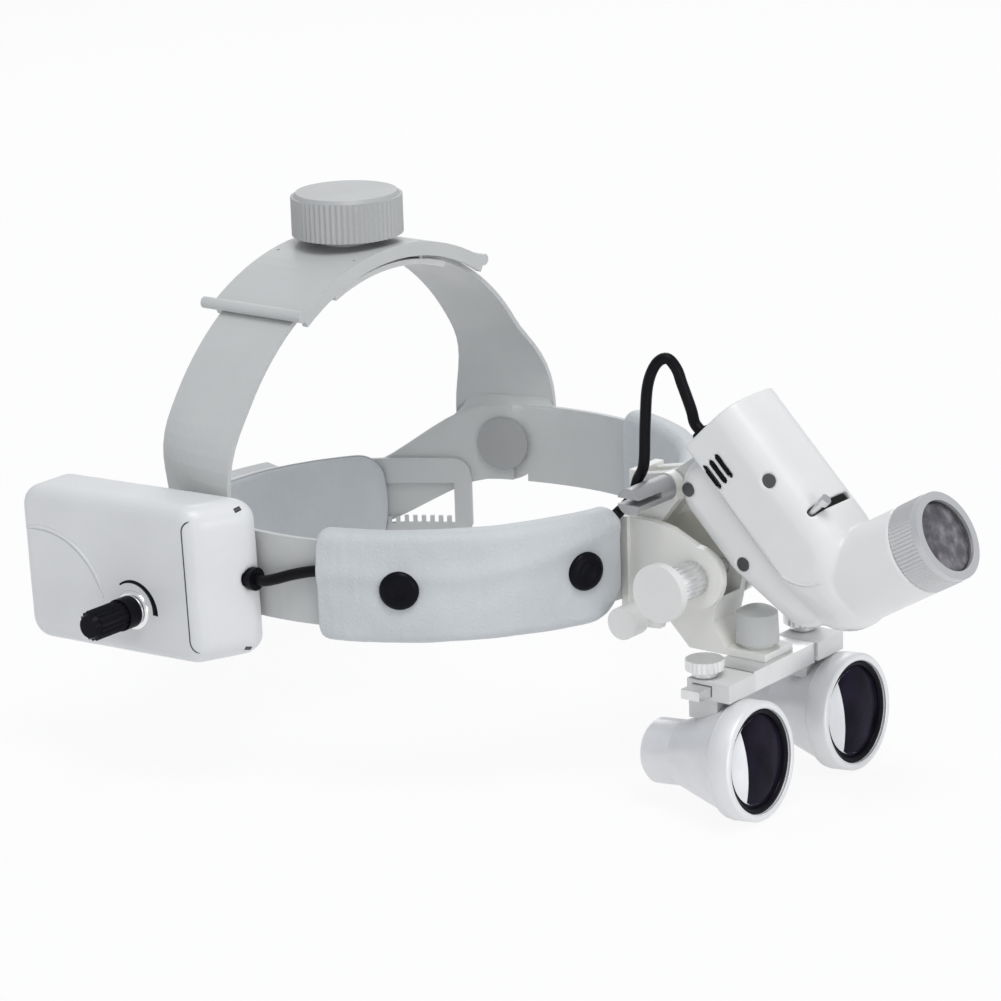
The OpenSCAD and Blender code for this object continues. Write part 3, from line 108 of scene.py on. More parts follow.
# ---- Materials ----
class Mat:
    """A Principled material whose colour, roughness and bump are built from noise."""

    # The part of the noise's range in which most of it lies
    NOISE_LOW, NOISE_HIGH = 0.3, 0.7

    def __init__(self, name, color, rough, metal=0.0):
        self.m = bpy.data.materials.new(name)
        self.m.use_nodes = True
        self.t = self.m.node_tree
        self.bsdf = next(n for n in self.t.nodes if n.type == "BSDF_PRINCIPLED")
        self.color = color
        self.set("Base Color", (*color, 1))
        self.set("Roughness", rough)
        self.set("Metallic", metal)
        self.coord = self.t.nodes.new("ShaderNodeTexCoord").outputs["Object"]
        self.height = None

    def set(self, name, value):
        """Gives the shader's input a value, and returns the material for the next one."""
        self.bsdf.inputs[name].default_value = value
        return self

    def node(self, kind, **sockets):
        n = self.t.nodes.new(kind)
        for k, v in sockets.items():
            n.inputs[k.replace("_", " ")].default_value = v
        return n

    def link(self, a, b):
        self.t.links.new(a, b)

    def noise(self, scale, detail):
        n = self.node("ShaderNodeTexNoise", Scale=scale, Detail=detail)
        self.link(self.coord, n.inputs["Vector"])
        return n.outputs["Fac"]

    def cells(self, scale):
        """Distance to the nearest edge between irregular cells."""
        n = self.node("ShaderNodeTexVoronoi", Scale=scale)
        n.feature = "DISTANCE_TO_EDGE"
        self.link(self.coord, n.inputs["Vector"])
        return n.outputs["Distance"]

    def ramp(self, fac, stops):
        """Colours at [(position, colour)...], chosen by a value."""
        n = self.t.nodes.new("ShaderNodeValToRGB")
        el = n.color_ramp.elements
        while len(el) < len(stops):
            el.new(0.5)
        for e, (p, c) in zip(el, stops):
            e.position = p
            e.color = (*c, 1)
        self.link(fac, n.inputs["Fac"])
        return n.outputs["Color"]

    def tint(self, scale, low, high, detail=4.0):
        """Slow variation of the colour, between a share low and a share high of it."""
        dark, light = ([min(1, v * share) for v in self.color] for share in (low, high))
        out = self.ramp(self.noise(scale, detail), [(self.NOISE_LOW, dark), (self.NOISE_HIGH, light)])
        self.link(out, self.bsdf.inputs["Base Color"])
        return self

    def rough(self, scale, low, high, detail=4.0):
        """Slow variation of the roughness."""
        n = self.t.nodes.new("ShaderNodeMapRange")
        n.inputs["From Min"].default_value = self.NOISE_LOW
        n.inputs["From Max"].default_value = self.NOISE_HIGH
        n.inputs["To Min"].default_value = low
        n.inputs["To Max"].default_value = high
        self.link(self.noise(scale, detail), n.inputs["Value"])
        self.link(n.outputs["Result"], self.bsdf.inputs["Roughness"])
        return self

    def bump(self, height, distance, strength):
        """Adds a relief on top of those already there."""
        b = self.node("ShaderNodeBump", Strength=strength, Distance=distance)
        self.link(height, b.inputs["Height"])
        if self.height is not None:
            self.link(self.height, b.inputs["Normal"])
        self.height = b.outputs["Normal"]
        self.link(self.height, self.bsdf.inputs["Normal"])
        return self


def plastic(name, color, rough, fine=900, depth=0.00006, strength=0.25, coat=0.0):
    """Moulded plastic with a fine grain."""
    m = Mat(name, color, rough)
    m.tint(38, 0.965, 1.02)
    m.rough(60, rough - 0.06, rough + 0.08)
    m.bump(m.noise(fine, 2), depth, strength)
    if coat:
        m.set("Coat Weight", coat).set("Coat Roughness", 0.12)
    return m


grey = plastic("strap plastic", (0.565, 0.572, 0.567), 0.42, 1400, 0.00005, 0.3)
pale = plastic("pale plastic", (0.72, 0.72, 0.71), 0.42)
white = plastic("box plastic", (0.755, 0.758, 0.76), 0.36, 1100, 0.00004, 0.2, 0.15)
lamp_white = plastic("lamp plastic", (0.80, 0.80, 0.79), 0.34, 900, 0.00004, 0.18, 0.2)
cream = plastic("cream plastic", (0.87, 0.865, 0.825), 0.3, 700, 0.00004, 0.15, 0.3)
cream.set("Subsurface Weight", 0.25).set("Subsurface Radius", (0.004, 0.0035, 0.003))
cream.set("Subsurface Scale", 1.0)
knob_white = plastic("knob plastic", (0.79, 0.79, 0.77), 0.38)
black = plastic("black plastic", (0.006, 0.006, 0.009), 0.3, 700, 0.00003, 0.2)
black.set("Specular IOR Level", 0.07)
rubber = plastic("cable jacket", (0.005, 0.005, 0.007), 0.36, 500, 0.00003, 0.25)
rubber.set("Specular IOR Level", 0.12)
rivet_grey = plastic("rivet plastic", (0.36, 0.364, 0.366), 0.42)
# Painted shade: the crown knob's grey is darker than the strap grey, standing in for the shade between its
# flutes
shaded_knob_grey = plastic("crown knob plastic darkened for shade", (0.44, 0.445, 0.445), 0.42)
screw = plastic("dark screw", (0.10, 0.10, 0.105), 0.32, 900, 0.00003, 0.2)
screw.set("Metallic", 0.7)
groove = plastic("groove shade", (0.075, 0.076, 0.08), 0.6)
sleeve_blue = plastic("cell sleeve", (0.05, 0.16, 0.42), 0.3)
board = plastic("circuit board", (0.02, 0.16, 0.06), 0.4)

leather = Mat("white leatherette", (0.575, 0.598, 0.615), 0.5)
leather.tint(45, 0.94, 1.03)
leather.rough(90, 0.44, 0.6)
leather.bump(leather.cells(620), 0.0003, 0.6)
leather.bump(leather.noise(230, 6), 0.0005, 0.45)
leather.set("Sheen Weight", 0.15)

metal = Mat("satin aluminium", (0.80, 0.80, 0.805), 0.33, 0.82)
metal.tint(120, 0.97, 1.02)
metal.rough(420, 0.28, 0.4)
metal.bump(metal.noise(1500, 3), 0.00003, 0.2)

bright = Mat("bright aluminium", (0.86, 0.86, 0.865), 0.2, 0.95)
bright.rough(500, 0.16, 0.27)
bright.bump(bright.noise(1800, 2), 0.00002, 0.15)

barrel_silver = Mat("barrel silver", (0.78, 0.78, 0.795), 0.4, 0.4)
barrel_silver.tint(160, 0.975, 1.02)
barrel_silver.rough(500, 0.32, 0.42)
barrel_silver.bump(barrel_silver.noise(2200, 2), 0.00003, 0.25)

ring_satin = Mat("ring satin", (0.84, 0.84, 0.845), 0.42, 0.3)
ring_satin.rough(500, 0.36, 0.5)
ring_satin.bump(ring_satin.noise(1800, 2), 0.00002, 0.15)

focus_metal = Mat("focus ring metal", (0.62, 0.62, 0.63), 0.4, 0.55)
focus_metal.rough(500, 0.34, 0.46)

pin_metal = Mat("pin metal", (0.40, 0.40, 0.41), 0.4, 0.5)
pin_metal.tint(150, 0.95, 1.03)
pin_metal.rough(400, 0.36, 0.5)

steel = Mat("plated steel", (0.68, 0.68, 0.685), 0.24, 1.0)
steel.tint(200, 0.94, 1.03)
steel.rough(600, 0.18, 0.32)

clear = Mat("clear glass", (0.95, 0.97, 0.98), 0.04)
clear.set("Transmission Weight", 1.0).set("IOR", 1.5)
clear.rough(300, 0.02, 0.06)

mirror = Mat("mirror glass", (0.92, 0.92, 0.93), 0.04, 1.0)
mirror.rough(300, 0.03, 0.06)

# Coated objective: dark violet glass over a dark tube
coated = Mat("coated glass", (0.010, 0.008, 0.016), 0.1)
coated.tint(70, 0.5, 2.2)
coated.set("Coat Weight", 0.05).set("Coat Roughness", 0.05).set("Specular IOR Level", 0.08).set("IOR", 1.15)
coated.rough(150, 0.05, 0.1)

lamp_glass = Mat("lamp glass", (0.075, 0.068, 0.082), 0.12)
mottle = [(0.3, (0.035, 0.03, 0.04)), (0.5, (0.085, 0.078, 0.09)), (0.72, (0.24, 0.23, 0.25))]
lamp_glass.link(lamp_glass.ramp(lamp_glass.noise(240, 5), mottle), lamp_glass.bsdf.inputs["Base Color"])
lamp_glass.rough(260, 0.06, 0.2)
lamp_glass.set("Coat Weight", 0.5).set("Coat Roughness", 0.04)

# Painted reflection: a bright sheet over part of each objective, standing in for the studio mirrored in its
# front surface
glint = Mat("painted glass reflection", (0.88, 0.88, 0.90), 0.08)
glint.tint(90, 0.93, 1.05)
glint.rough(200, 0.05, 0.12)


painted = {
    rivet_grey: "junction_rivets",
    shaded_knob_grey: "crown_knob",
    grey: "headband crown_strap_left crown_strap_right rear_arm_left rear_arm_right crown_cover "
          "nape_housing nape_knob bridge_knob box_saddle",
    pale: "crown_plate crown_pinion nape_plate nape_pinion lamp_tab slide_block_left slide_block_right",
    white: "box_inner_case box_outer_case",
    lamp_white: "lamp_shell_left lamp_shell_right",
    cream: "front_bracket loupe_arm",
    knob_white: "lock_knob height_knob",
    black: "snap_caps dimmer_knob charging_socket",
    rubber: "box_grommet lamp_grommet lamp_cable",
    leather: "forehead_pad_left forehead_pad_right nape_pad",
    metal: "dimmer_ring lamp_collar led_module crossbar thumb_screw_left thumb_screw_right",
    focus_metal: "focus_ring",
    barrel_silver: "barrel_left barrel_right",
    steel: "dimmer_pot box_screws hub_pin filter_slide",
    pin_metal: "hinge_pin",
    screw: "lamp_screws",
    clear: "condenser_lens eye_lens_left eye_lens_right",
    mirror: "lamp_mirror",
    coated: "objective_lens_left objective_lens_right",
    lamp_glass: "lamp_lens",
    sleeve_blue: "battery_cells",
    board: "dimmer_board",
}
for material, names in painted.items():
    for name in names.split():
        nodes[name].data.materials.clear()
        nodes[name].data.materials.append(material.m)


# ---- Mesh helpers ----
def new_object(name, mesh, material, body):
    """A piece of the scene that rides a body."""
    o = bpy.data.objects.new(name, mesh)
    bpy.context.scene.collection.objects.link(o)
    mesh.materials.append(material.m)
    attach(o, body)
    return o


def mesh_from(name, verts, faces):
    """Smooth mesh with its normals outwards."""
    me = bpy.data.meshes.new(name)
    me.from_pydata([tuple(v) for v in verts], [], faces)
    me.update()
    bm = bmesh.new()
    bm.from_mesh(me)
    bmesh.ops.recalc_face_normals(bm, faces=bm.faces)
    bm.to_mesh(me)
    bm.free()
    for p in me.polygons:
        p.use_smooth = True
    return me


def loft(rings, closed=True, ends=True):
    """Faces that join rings of points of equal length into one skin."""
    n = len(rings[0])
    verts = [p for r in rings for p in r]
    faces = []
    for i in range(len(rings) - 1):
        for j in range(n if closed else n - 1):
            k = (j + 1) % n
            faces.append((i * n + j, i * n + k, (i + 1) * n + k, (i + 1) * n + j))
    if ends:
        faces.append(tuple(range(n)))
        faces.append(tuple((len(rings) - 1) * n + j for j in range(n)))
    return verts, faces


def in_metres(profile):
    """The (radius, height) pairs of a profile, from millimetres."""
    return [(r * mm, z * mm) for r, z in profile]


def revolve(profile, place, steps=96):
    """Surface of revolution of [(radius, height)...] about the Z axis of place."""
    turns = [2 * math.pi * k / steps for k in range(steps)]
    rings = [[place @ Vector((r * math.cos(a), r * math.sin(a), z)) for a in turns] for r, z in profile]
    return loft(rings, True, False)


def turned(name, profile, place, material, body):
    """New object whose skin is a surface of revolution."""
    return new_object(name, mesh_from(name, *revolve(profile, place)), material, body)


def rounded(o):
    """One level of subdivision, the same in the view and in the render."""
    sub = o.modifiers.new("round", "SUBSURF")
    sub.levels = sub.render_levels = 1


def soft_edges(name, width, segments=3, angle=32):
    """Narrow bevel on every edge of a CAD piece that is sharper than angle."""
    o = nodes[name]
    for p in o.data.polygons:
        p.use_smooth = False
    b = o.modifiers.new("edges", "BEVEL")
    b.width = width
    b.segments = segments
    b.limit_method = "ANGLE"
    b.angle_limit = math.radians(angle)
    b.harden_normals = True
    b.use_clamp_overlap = True


# ---- Cable: out of the box, inside the sleeve, out in front and down into the lamp ----
# Route inside the sleeve as (angle, height in mm), and outside it as points in mm
SLEEVE = [(76.5, 4.5), (70, 4.6), (60, 4.4), (50, 4), (40, 4.2), (30, 6), (20, 10), (13.5, 12.9)]
CABLE_D = 0.0036
ROUTE = [(-90.6, 0.55, -0.1), (-90.6, -2.9, 0.02), (-89.8, -7, 1.2), (-87.4, -12.6, 3)]
for t, z in SLEEVE:
    c = ring(t, HALF_T + CABLE_D / 2 + 0.0001)
    ROUTE.append((c.x / mm, c.y / mm, z))
ROUTE += [(-14.9, -84, 15.5), (-14.4, -86.9, 18.4), (-13.8, -89.6, 22.2), (-13.6, -91, 27),
          (-14.6, -94.3, 33), (-15, -95.4, 46), (-14.6, -96.3, 58), (-13.8, -98.9, 65),
          (-12.5, -102.3, 67.2), (-11.3, -105, 64), (-10.5, -106.4, 59.2), (-9.7, -108, 54),
          (-9.2, -109, 50.4), (-9, -109.85, 46.9), (-9, -111.8, 44.92)]
route = [Vector(p) * mm for p in ROUTE]


def spline(a, b, c, d, u):
    """Point at share u of the way from b to c on a smooth curve through a, b, c and d."""
    square, cube = 2 * a - 5 * b + 4 * c - d, 3 * b - a - 3 * c + d
    return 0.5 * (2 * b + (c - a) * u + square * u * u + cube * u ** 3)


STEPS_PER_POINT = 6
last = len(route) - 1
path = [spline(route[max(0, i - 1)], route[i], route[i + 1], route[min(last, i + 2)], k / STEPS_PER_POINT)
        for i in range(last) for k in range(STEPS_PER_POINT)] + [route[-1]]
curve = bpy.data.curves.new("lamp_lead", "CURVE")
curve.dimensions = "3D"
poly = curve.splines.new("POLY")
poly.points.add(len(path) - 1)
for p, q in zip(poly.points, path):
    p.co = (*q, 1)
curve.bevel_depth = CABLE_D / 2
curve.bevel_resolution = 4
curve.use_fill_caps = True
curve.materials.append(rubber.m)
lead = bpy.data.objects.new("lamp_lead", curve)
bpy.context.scene.collection.objects.link(lead)
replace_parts(lead, "lamp_cable")
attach(lead, "frame")


# ---- Pads: leatherette sleeves and the nape cushion ----
def box_loop(o0, o1, z0, z1, r, steps=7, swell=0.0):
    """Closed loop of (out, height) points round a rounded rectangle, with crowned long sides."""
    pts = []
    corners = ((o1 - r, z1 - r, 0), (o0 + r, z1 - r, 90), (o0 + r, z0 + r, 180), (o1 - r, z0 + r, 270))
    for co, cz, a0 in corners:
        for k in range(steps):
            a = math.radians(a0 + 90 * k / (steps - 1))
            pts.append((co + r * math.cos(a), cz + r * math.sin(a)))
    full = []
    for i, p in enumerate(pts):
        q = pts[(i + 1) % len(pts)]
        full.append(p)
        if i % steps == steps - 1:
            cells = 14 if i in (2 * steps - 1, 4 * steps - 1) else 5
            for k in range(1, cells):
                full.append((p[0] + (q[0] - p[0]) * k / cells, p[1] + (q[1] - p[1]) * k / cells))
    mid = (z0 + z1) / 2
    half = (z1 - z0) / 2
    centre = (o0 + o1) / 2
    return [(o + swell * (1 if o > centre else -1) * max(0, 1 - ((z - mid) / half) ** 2), z) for o, z in full]


def lead_height(t):
    """Height of the cable at angle t inside the sleeve."""
    for (a, za), (b, zb) in zip(SLEEVE, SLEEVE[1:]):
        if b <= t <= a:
            return (za + (zb - za) * (a - t) / (a - b)) * mm
    return SLEEVE[-1][1] * mm if t < SLEEVE[-1][0] else SLEEVE[0][1] * mm


def corner_cut(r, away):
    """How far a corner of radius r cuts in at a distance from the end."""
    return r - math.sqrt(max(0, r ** 2 - (r - away) ** 2))


def sleeve(name, side):
    """Forehead pad: a leatherette sleeve round the band, with the band's pocket open at both ends."""
    half = PAD_H / 2
    arc = math.radians(1) * FRONT
    rows = 96
    # Radii of the lower front corner, of the other corners, and of the section's corners
    low_r, top_r, section_r = 0.011, 0.0035, 0.0034
    rings = []

    def outer(t, shrink=0.0):
        """Section of the outer skin at angle t."""
        ahead, back = (t - PAD_A0) * arc, (PAD_A1 - t) * arc
        z0, z1 = -half, half
        if ahead < low_r:
            z0 += corner_cut(low_r, ahead)
        if ahead < top_r:
            z1 -= corner_cut(top_r, ahead)
        if back < top_r:
            z0 += 0.6 * corner_cut(top_r, back)
            z1 -= 0.6 * corner_cut(top_r, back)
        return box_loop(-PAD_IN + 0.0006 + shrink, PAD_OUT - 0.0007 - shrink, z0 + shrink, z1 - shrink,
                        section_r, swell=0.0005)

    def place(t, loop, lift):
        """Points of a section at angle t; lift adds the cable's bulge, the stud hollows and the folds."""
        pts = []
        for o, z in loop:
            base = ring(t)
            if lift:
                if o > 0.001:
                    if side > 0:
                        o += 0.0009 * math.exp(-((z - lead_height(t)) / 0.0028) ** 2)
                    for a in SNAP_A:
                        away = math.hypot((t - a) * arc, z)
                        o -= 0.0011 * math.exp(-(away / 0.0085) ** 4)
                p = Vector((base.x, base.y, z)) * 1000
                w = noise.noise(p * 0.055 + Vector((side * 9, 0, 3))) * 0.00042
                w += noise.noise(p * 0.16) * 0.00022
                w += 0.00016 * noise.noise(Vector((t * 0.9, z * 90, side * 5)))
                o += w * (1 if o > 0.0005 else -1)
                z += noise.noise(p * 0.07 + Vector((5, 5, 5))) * 0.0003
            q = ring(t, o)
            pts.append(Vector((q.x * side, q.y, z)))
        return pts

    # From inside the pocket at the front, over the outer skin, back into the pocket at the rear
    pocket = box_loop(-0.0011, PAD_OUT - 0.0014, -BAND_H / 2 - 0.0004, half - 0.0024, 0.0014)
    front = box_loop(-0.0011, PAD_OUT - 0.0014, -BAND_H / 2 + 0.0042, half - 0.003, 0.0014)
    rings.append(place(PAD_A0 + 7, pocket, False))
    rings.append(place(PAD_A0 + 0.35, front, False))
    rings.append(place(PAD_A0, outer(PAD_A0 + 0.5, 0.0007), True))
    for k in range(rows + 1):
        u = k / rows
        t = PAD_A0 + (PAD_A1 - PAD_A0) * (u - 0.08 * math.sin(2 * math.pi * u) / 2)
        first = 0.25 if k == 0 else 0
        final = 0.25 if k == rows else 0
        rings.append(place(t + first - final, outer(t + first), True))
    rings.append(place(PAD_A1, outer(PAD_A1, 0.0006), True))
    rings.append(place(PAD_A1 - 0.35, pocket, False))
    rings.append(place(PAD_A1 - 8, pocket, False))
    o = new_object(name, mesh_from(name, *loft(rings, True, False)), leather, "frame")
    rounded(o)
    return o


for side, which in ((1, "right"), (-1, "left")):
    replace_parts(sleeve("brow_pad_" + which, side), "forehead_pad_" + which)


def nape_cushion():
    """Cushion that lies on the inner face at the nape, thin and rounded at its ends."""
    z0, z1 = (corner.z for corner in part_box("nape_pad"))
    mid, half = (z0 + z1) / 2, (z1 - z0) / 2
    outer = -0.0041
    rings = []
    rows = 72
    for k in range(rows + 1):
        u = -1 + 2 * k / rows
        t = 180 + NAPE_A * math.copysign(1 - (1 - abs(u)) ** 1.25, u)
        edge = (1 - abs(t - 180) / NAPE_A) * NAPE_A * math.radians(1) * REAR
        r = 0.012
        cut = r - math.sqrt(max(0, r * r - (r - edge) ** 2)) if edge < r else 0
        h = half - cut
        thick = 0.0049 * (1 - 0.86 * math.exp(-(edge / 0.0035) ** 1.5))
        loop = box_loop(outer - thick, outer, -h, h, min(0.45 * thick, 0.0024))
        pts = []
        for o, z in loop:
            crown = max(0, 1 - (z / h) ** 2)
            if o < outer - thick / 2:
                o += 0.0012 * (1 - crown)
            q = ring(t, o)
            p = Vector((q.x, q.y, z)) * 1000
            w = 0.0003 * noise.noise(p * 0.06) + 0.00015 * noise.noise(p * 0.2)
            q = ring(t, o - abs(w) if o < outer - 0.001 else o)
            pts.append(Vector((q.x, q.y, mid + z)))
        rings.append(pts)
    o = new_object("nape_cushion", mesh_from("nape_cushion", *loft(rings)), leather, "frame")
    rounded(o)
    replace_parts(o, "nape_pad")


nape_cushion()


# ---- Snap fasteners ----
def frame_at(p, axis):
    """Matrix whose Z axis is axis, at point p."""
    z = axis.normalized()
    x = Vector((0, 0, 1)).cross(z).normalized()
    y = z.cross(x)
    return Matrix.Translation(p) @ Matrix(((x.x, y.x, z.x), (x.y, y.y, z.y), (x.z, y.z, z.z))).to_4x4()


def joined(parts):
    """One list of points and one of faces from several."""
    verts, faces = [], []
    for v, f in parts:
        base = len(verts)
        verts += v
        faces += [tuple(i + base for i in g) for g in f]
    return verts, faces


CAP_SUNK = 0.0004
cap_profile = in_metres([(0.01, 0.9), (1.6, 0.95), (2.3, 1.25), (2.9, 1.5), (3.6, 1.56), (4.6, 1.42),
                         (5.4, 1.08), (5.95, 0.6), (6.2, 0.1), (6.2, -0.8)])
caps = []
for side in (1, -1):
    for a in SNAP_A:
        p, q = ring(a, PAD_OUT - CAP_SUNK), ring(a, PAD_OUT + 0.01)
        p, q = Vector((p.x * side, p.y, 0)), Vector((q.x * side, q.y, 0))
        caps.append(revolve(cap_profile, frame_at(p, q - p), 64))
press = new_object("press_studs", mesh_from("press_studs", *joined(caps)), black, "frame")
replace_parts(press, "snap_caps")


# ---- Smooth moulded housings ----
def moulded(name, sources, material, body, voxel, passes):
    """One smooth skin round the CAD pieces it stands for."""
    me = bpy.data.meshes.new(name)
    bm = bmesh.new()
    for s in sources:
        bm.from_mesh(nodes[s].data)
    bm.to_mesh(me)
    bm.free()
    o = bpy.data.objects.new(name, me)
    bpy.context.scene.collection.objects.link(o)
    re = o.modifiers.new("voxels", "REMESH")
    re.mode = "VOXEL"
    re.voxel_size = voxel
    sm = o.modifiers.new("smooth", "SMOOTH")
    sm.factor = 0.5
    sm.iterations = passes
    done = bpy.data.meshes.new_from_object(o.evaluated_get(bpy.context.evaluated_depsgraph_get()))
    o.modifiers.clear()
    o.data = done
    done.materials.clear()
    done.materials.append(material.m)
    for p in done.polygons:
        p.use_smooth = True
    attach(o, body)
    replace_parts(o, *sources)
    return o


lamp_skin = moulded("lamp_housing", ["lamp_shell_left", "lamp_shell_right"], lamp_white, "lamp", 0.00055, 7)
box_skin = moulded("battery_housing", ["box_inner_case", "box_outer_case"], white, "frame", 0.0007, 14)
# Frames of the box and of the lamp's body, in which their details are placed in millimetres
box_frame = Matrix.Translation((-0.108, 0.0005, 0)) @ Matrix.Rotation(math.radians(-2), 4, "X")
body_frame = Matrix.Translation(ELBOW) @ Matrix.Rotation(math.radians(-44), 4, "X")


def inlay(name, skin, place, path, width, aim, material, body, lift=0.00006, bulge=0.0):
    """Narrow strip that lies on a housing's skin along a path in the millimetres of place."""
    tree = BVHTree.FromPolygons([v.co for v in skin.data.vertices], [p.vertices for p in skin.data.polygons])
    aim = (place.to_3x3() @ Vector(aim)).normalized()
    pts = [place @ (Vector(p) * mm) for p in path]
    rings = []
    for i, p in enumerate(pts):
        along = (pts[min(i + 1, len(pts) - 1)] - pts[max(i - 1, 0)]).normalized()
        side = along.cross(aim).normalized()
        w = width(i / (len(pts) - 1)) * mm / 2
        row = []
        for k in (-1, 0, 1):
            start = p + side * w * k - aim * 0.02
            hit, normal = tree.ray_cast(start, aim, 0.05)[:2]
            if hit is None:
                hit, normal = p + side * w * k, -aim
            row.append((hit, normal))
        (l, nl), (m, nm), (r, nr) = row
        rings.append([l + nl * lift, m + nm * (lift + bulge), r + nr * lift, m - nm * 0.0002])
    return new_object(name, mesh_from(name, *loft(rings)), material, body)


def tapered(width, ends):
    """Width along a strip that narrows towards both ends."""
    slope, least = ends
    return lambda u: width * min(1, slope * u + least, slope * (1 - u) + least)


def arc_points(x, cy, cz, r, a0, a1, n=24):
    """Points on an arc in the plane x, angles from +Y towards +Z."""
    angles = [math.radians(a0 + (a1 - a0) * k / n) for k in range(n + 1)]
    return [(x, cy + r * math.cos(a), cz + r * math.sin(a)) for a in angles]


def line_points(a, b, n):
    """Points on the straight way from a to b, both included."""
    return [tuple(a[j] + (b[j] - a[j]) * k / n for j in range(3)) for k in range(n + 1)]


# Seam of the end panel, round the box's front end
BOX_FACE_X = -1
SEAM_Y, SEAM_Z, SEAM_R = 14.4, 21.5, 4.0
seam = arc_points(BOX_FACE_X, SEAM_Y - SEAM_R, SEAM_Z - SEAM_R, SEAM_R, 75, 0)
seam += line_points((BOX_FACE_X, SEAM_Y, SEAM_Z - SEAM_R), (BOX_FACE_X, SEAM_Y, SEAM_R - SEAM_Z), 30)[1:-1]
seam += arc_points(BOX_FACE_X, SEAM_Y - SEAM_R, SEAM_R - SEAM_Z, SEAM_R, 0, -75)
inlay("panel_seam", box_skin, box_frame, seam, tapered(0.5, (12, 0.1)), X_AXIS, groove, "frame")
for name, z in (("clip_slot_top", 1), ("clip_slot_bottom", -1)):
    slot = line_points((14.2, 3, z * 23.5), (16.4, 3, z * 23.5), 6)
    inlay(name, box_skin, box_frame, slot, lambda u: 1.5, (0, 1, -0.8 * z), groove, "frame")

# Dark crescent laid on the box face round the dimmer, widening along its arc, and a faint embossed arc
DIM_Y, DIM_Z = 37.4, -10.3
inlay("dimmer_crescent", box_skin, box_frame, arc_points(BOX_FACE_X, DIM_Y, DIM_Z, 9.2, 55, 185, 40),
      lambda u: 0.5 + 1.7 * u ** 0.8, X_AXIS, black, "frame", 0.00004)
inlay("moulded_arc", box_skin, box_frame, arc_points(BOX_FACE_X, 76, -15, 27, 75, 165, 40),
      tapered(1.8, (6, 0.2)), X_AXIS, white, "frame", 0.00003, 0.00013)

# Silver washer under the dimmer knob
dimmer_frame = box_frame @ Matrix.Translation((0, DIM_Y * mm, DIM_Z * mm)) \
    @ Matrix.Rotation(math.radians(-90), 4, "Y")
washer = in_metres([(1.7, 1.2), (5.6, 1.2), (6.1, 1.0), (6.5, 0.5), (6.6, -0.4)])
turned("dimmer_washer", washer, dimmer_frame, bright, "frame")

# Painted shade: black strips on the lamp's skin where its cooling slots open, standing in for the shade
# inside them
LAMP_HALF_W = 14.5
for k, y in enumerate((1.4, 4.4, 7.4)):
    for side, x in (("right", -LAMP_HALF_W), ("left", LAMP_HALF_W)):
        inlay("vent_%s_%d" % (side, k), lamp_skin, body_frame, line_points((x, y, 45.4), (x, y, 54.6), 18),
              lambda u: 1.35 * (1 - abs(2 * u - 1) ** 8) ** 0.5 + 0.02, (-math.copysign(1, x), 0, 0),
              black, "lamp", 0.00008)

# Raised line along the lamp's right-hand cheek
CHEEK_X = -16
cheek = line_points((CHEEK_X, 9.6, 47), (CHEEK_X, 10.2, 20), 40)[:-1]
cheek += arc_points(CHEEK_X, -8, 20, 18.2, 0, -72, 30)
inlay("cheek_line", lamp_skin, body_frame, cheek, tapered(1.1, (8, 0.2)), X_AXIS, lamp_white, "lamp",
      0.00002, 0.00022)


# ---- Blended roots of the harness, where strap, band and arm meet on each side ----
WEB_LOW, WEB_TALL, WEB_THICK = -0.004, 0.0205, 0.0005
BAND_FACE = -0.001


def harness_web(name, side, which):
    """Thin skin on the inner faces round a junction, blended over the steps between them."""
    bm = bmesh.new()
    for source in ("headband", "crown_strap_" + which, "rear_arm_" + which):
        bm.from_mesh(nodes[source].data)
    tree = BVHTree.FromBMesh(bm)
    bm.free()
    rows, cols, reach, farthest = 30, 36, 0.03, 0.006

    def across(t, out, z):
        q = ring(t, out)
        return Vector((q.x * side, q.y, z))

    def face_at(t, z):
        """How far out the nearest inner face is, or None past the edge."""
        start = across(t, -reach, z)
        hit = tree.ray_cast(start, (across(t, 0.01, z) - start).normalized(), 2 * reach)[0]
        if hit is None or (hit - start).length >= reach + farthest:
            return None
        return (hit - start).length - reach

    # Front and rear edges: up along the strap, and down over the band and the arm
    grid = []
    for i in range(rows + 1):
        z = WEB_LOW + WEB_TALL * i / rows
        flare = max(0, (z - 0.0132) / 0.0033)
        t0 = 96.5 + 4.0 * min(1, flare) ** 0.45
        t1 = 118.6 + 4.6 * (1 - min(1, max(0, z - 0.007) / 0.0075)) ** 1.5
        grid.append([(t0 + (t1 - t0) * j / cols, z) for j in range(cols + 1)])
    found = [[face_at(t, z) for t, z in line] for line in grid]

    # Smooth the steps, always staying on the inner side of what was found
    depth = [[BAND_FACE if d is None else d for d in line] for line in found]
    for _ in range(14):
        old = [list(line) for line in depth]
        for i in range(rows + 1):
            for j in range(cols + 1):
                around = ((i - 1, j), (i + 1, j), (i, j - 1), (i, j + 1))
                near = [old[a][b] for a, b in around if 0 <= a <= rows and 0 <= b <= cols]
                depth[i][j] = sum(near) / len(near)
                if found[i][j] is not None:
                    depth[i][j] = min(depth[i][j], found[i][j])

    rings = []
    for i in range(rows + 1):
        edge = min(1, (rows - i) / 5, i / 5)
        inner, outer = [], []
        for j, (t, z) in enumerate(grid[i]):
            inset = min(edge, j / 4, (cols - j) / 4)
            inner.append(across(t, depth[i][j] - 0.00012 * inset - 0.00002, z))
            outer.append(across(t, depth[i][j] + WEB_THICK, z))
        rings.append(inner + outer[::-1])
    me = mesh_from(name, *loft(rings))
    bm = bmesh.new()
    bm.from_mesh(me)
    for e in bm.edges:
        e.smooth = e.calc_face_angle(0) < 0.7
    bm.to_mesh(me)
    bm.free()
    return new_object(name, me, grey, "frame")


for side, which in ((1, "right"), (-1, "left")):
    harness_web("harness_root_" + which, side, which)

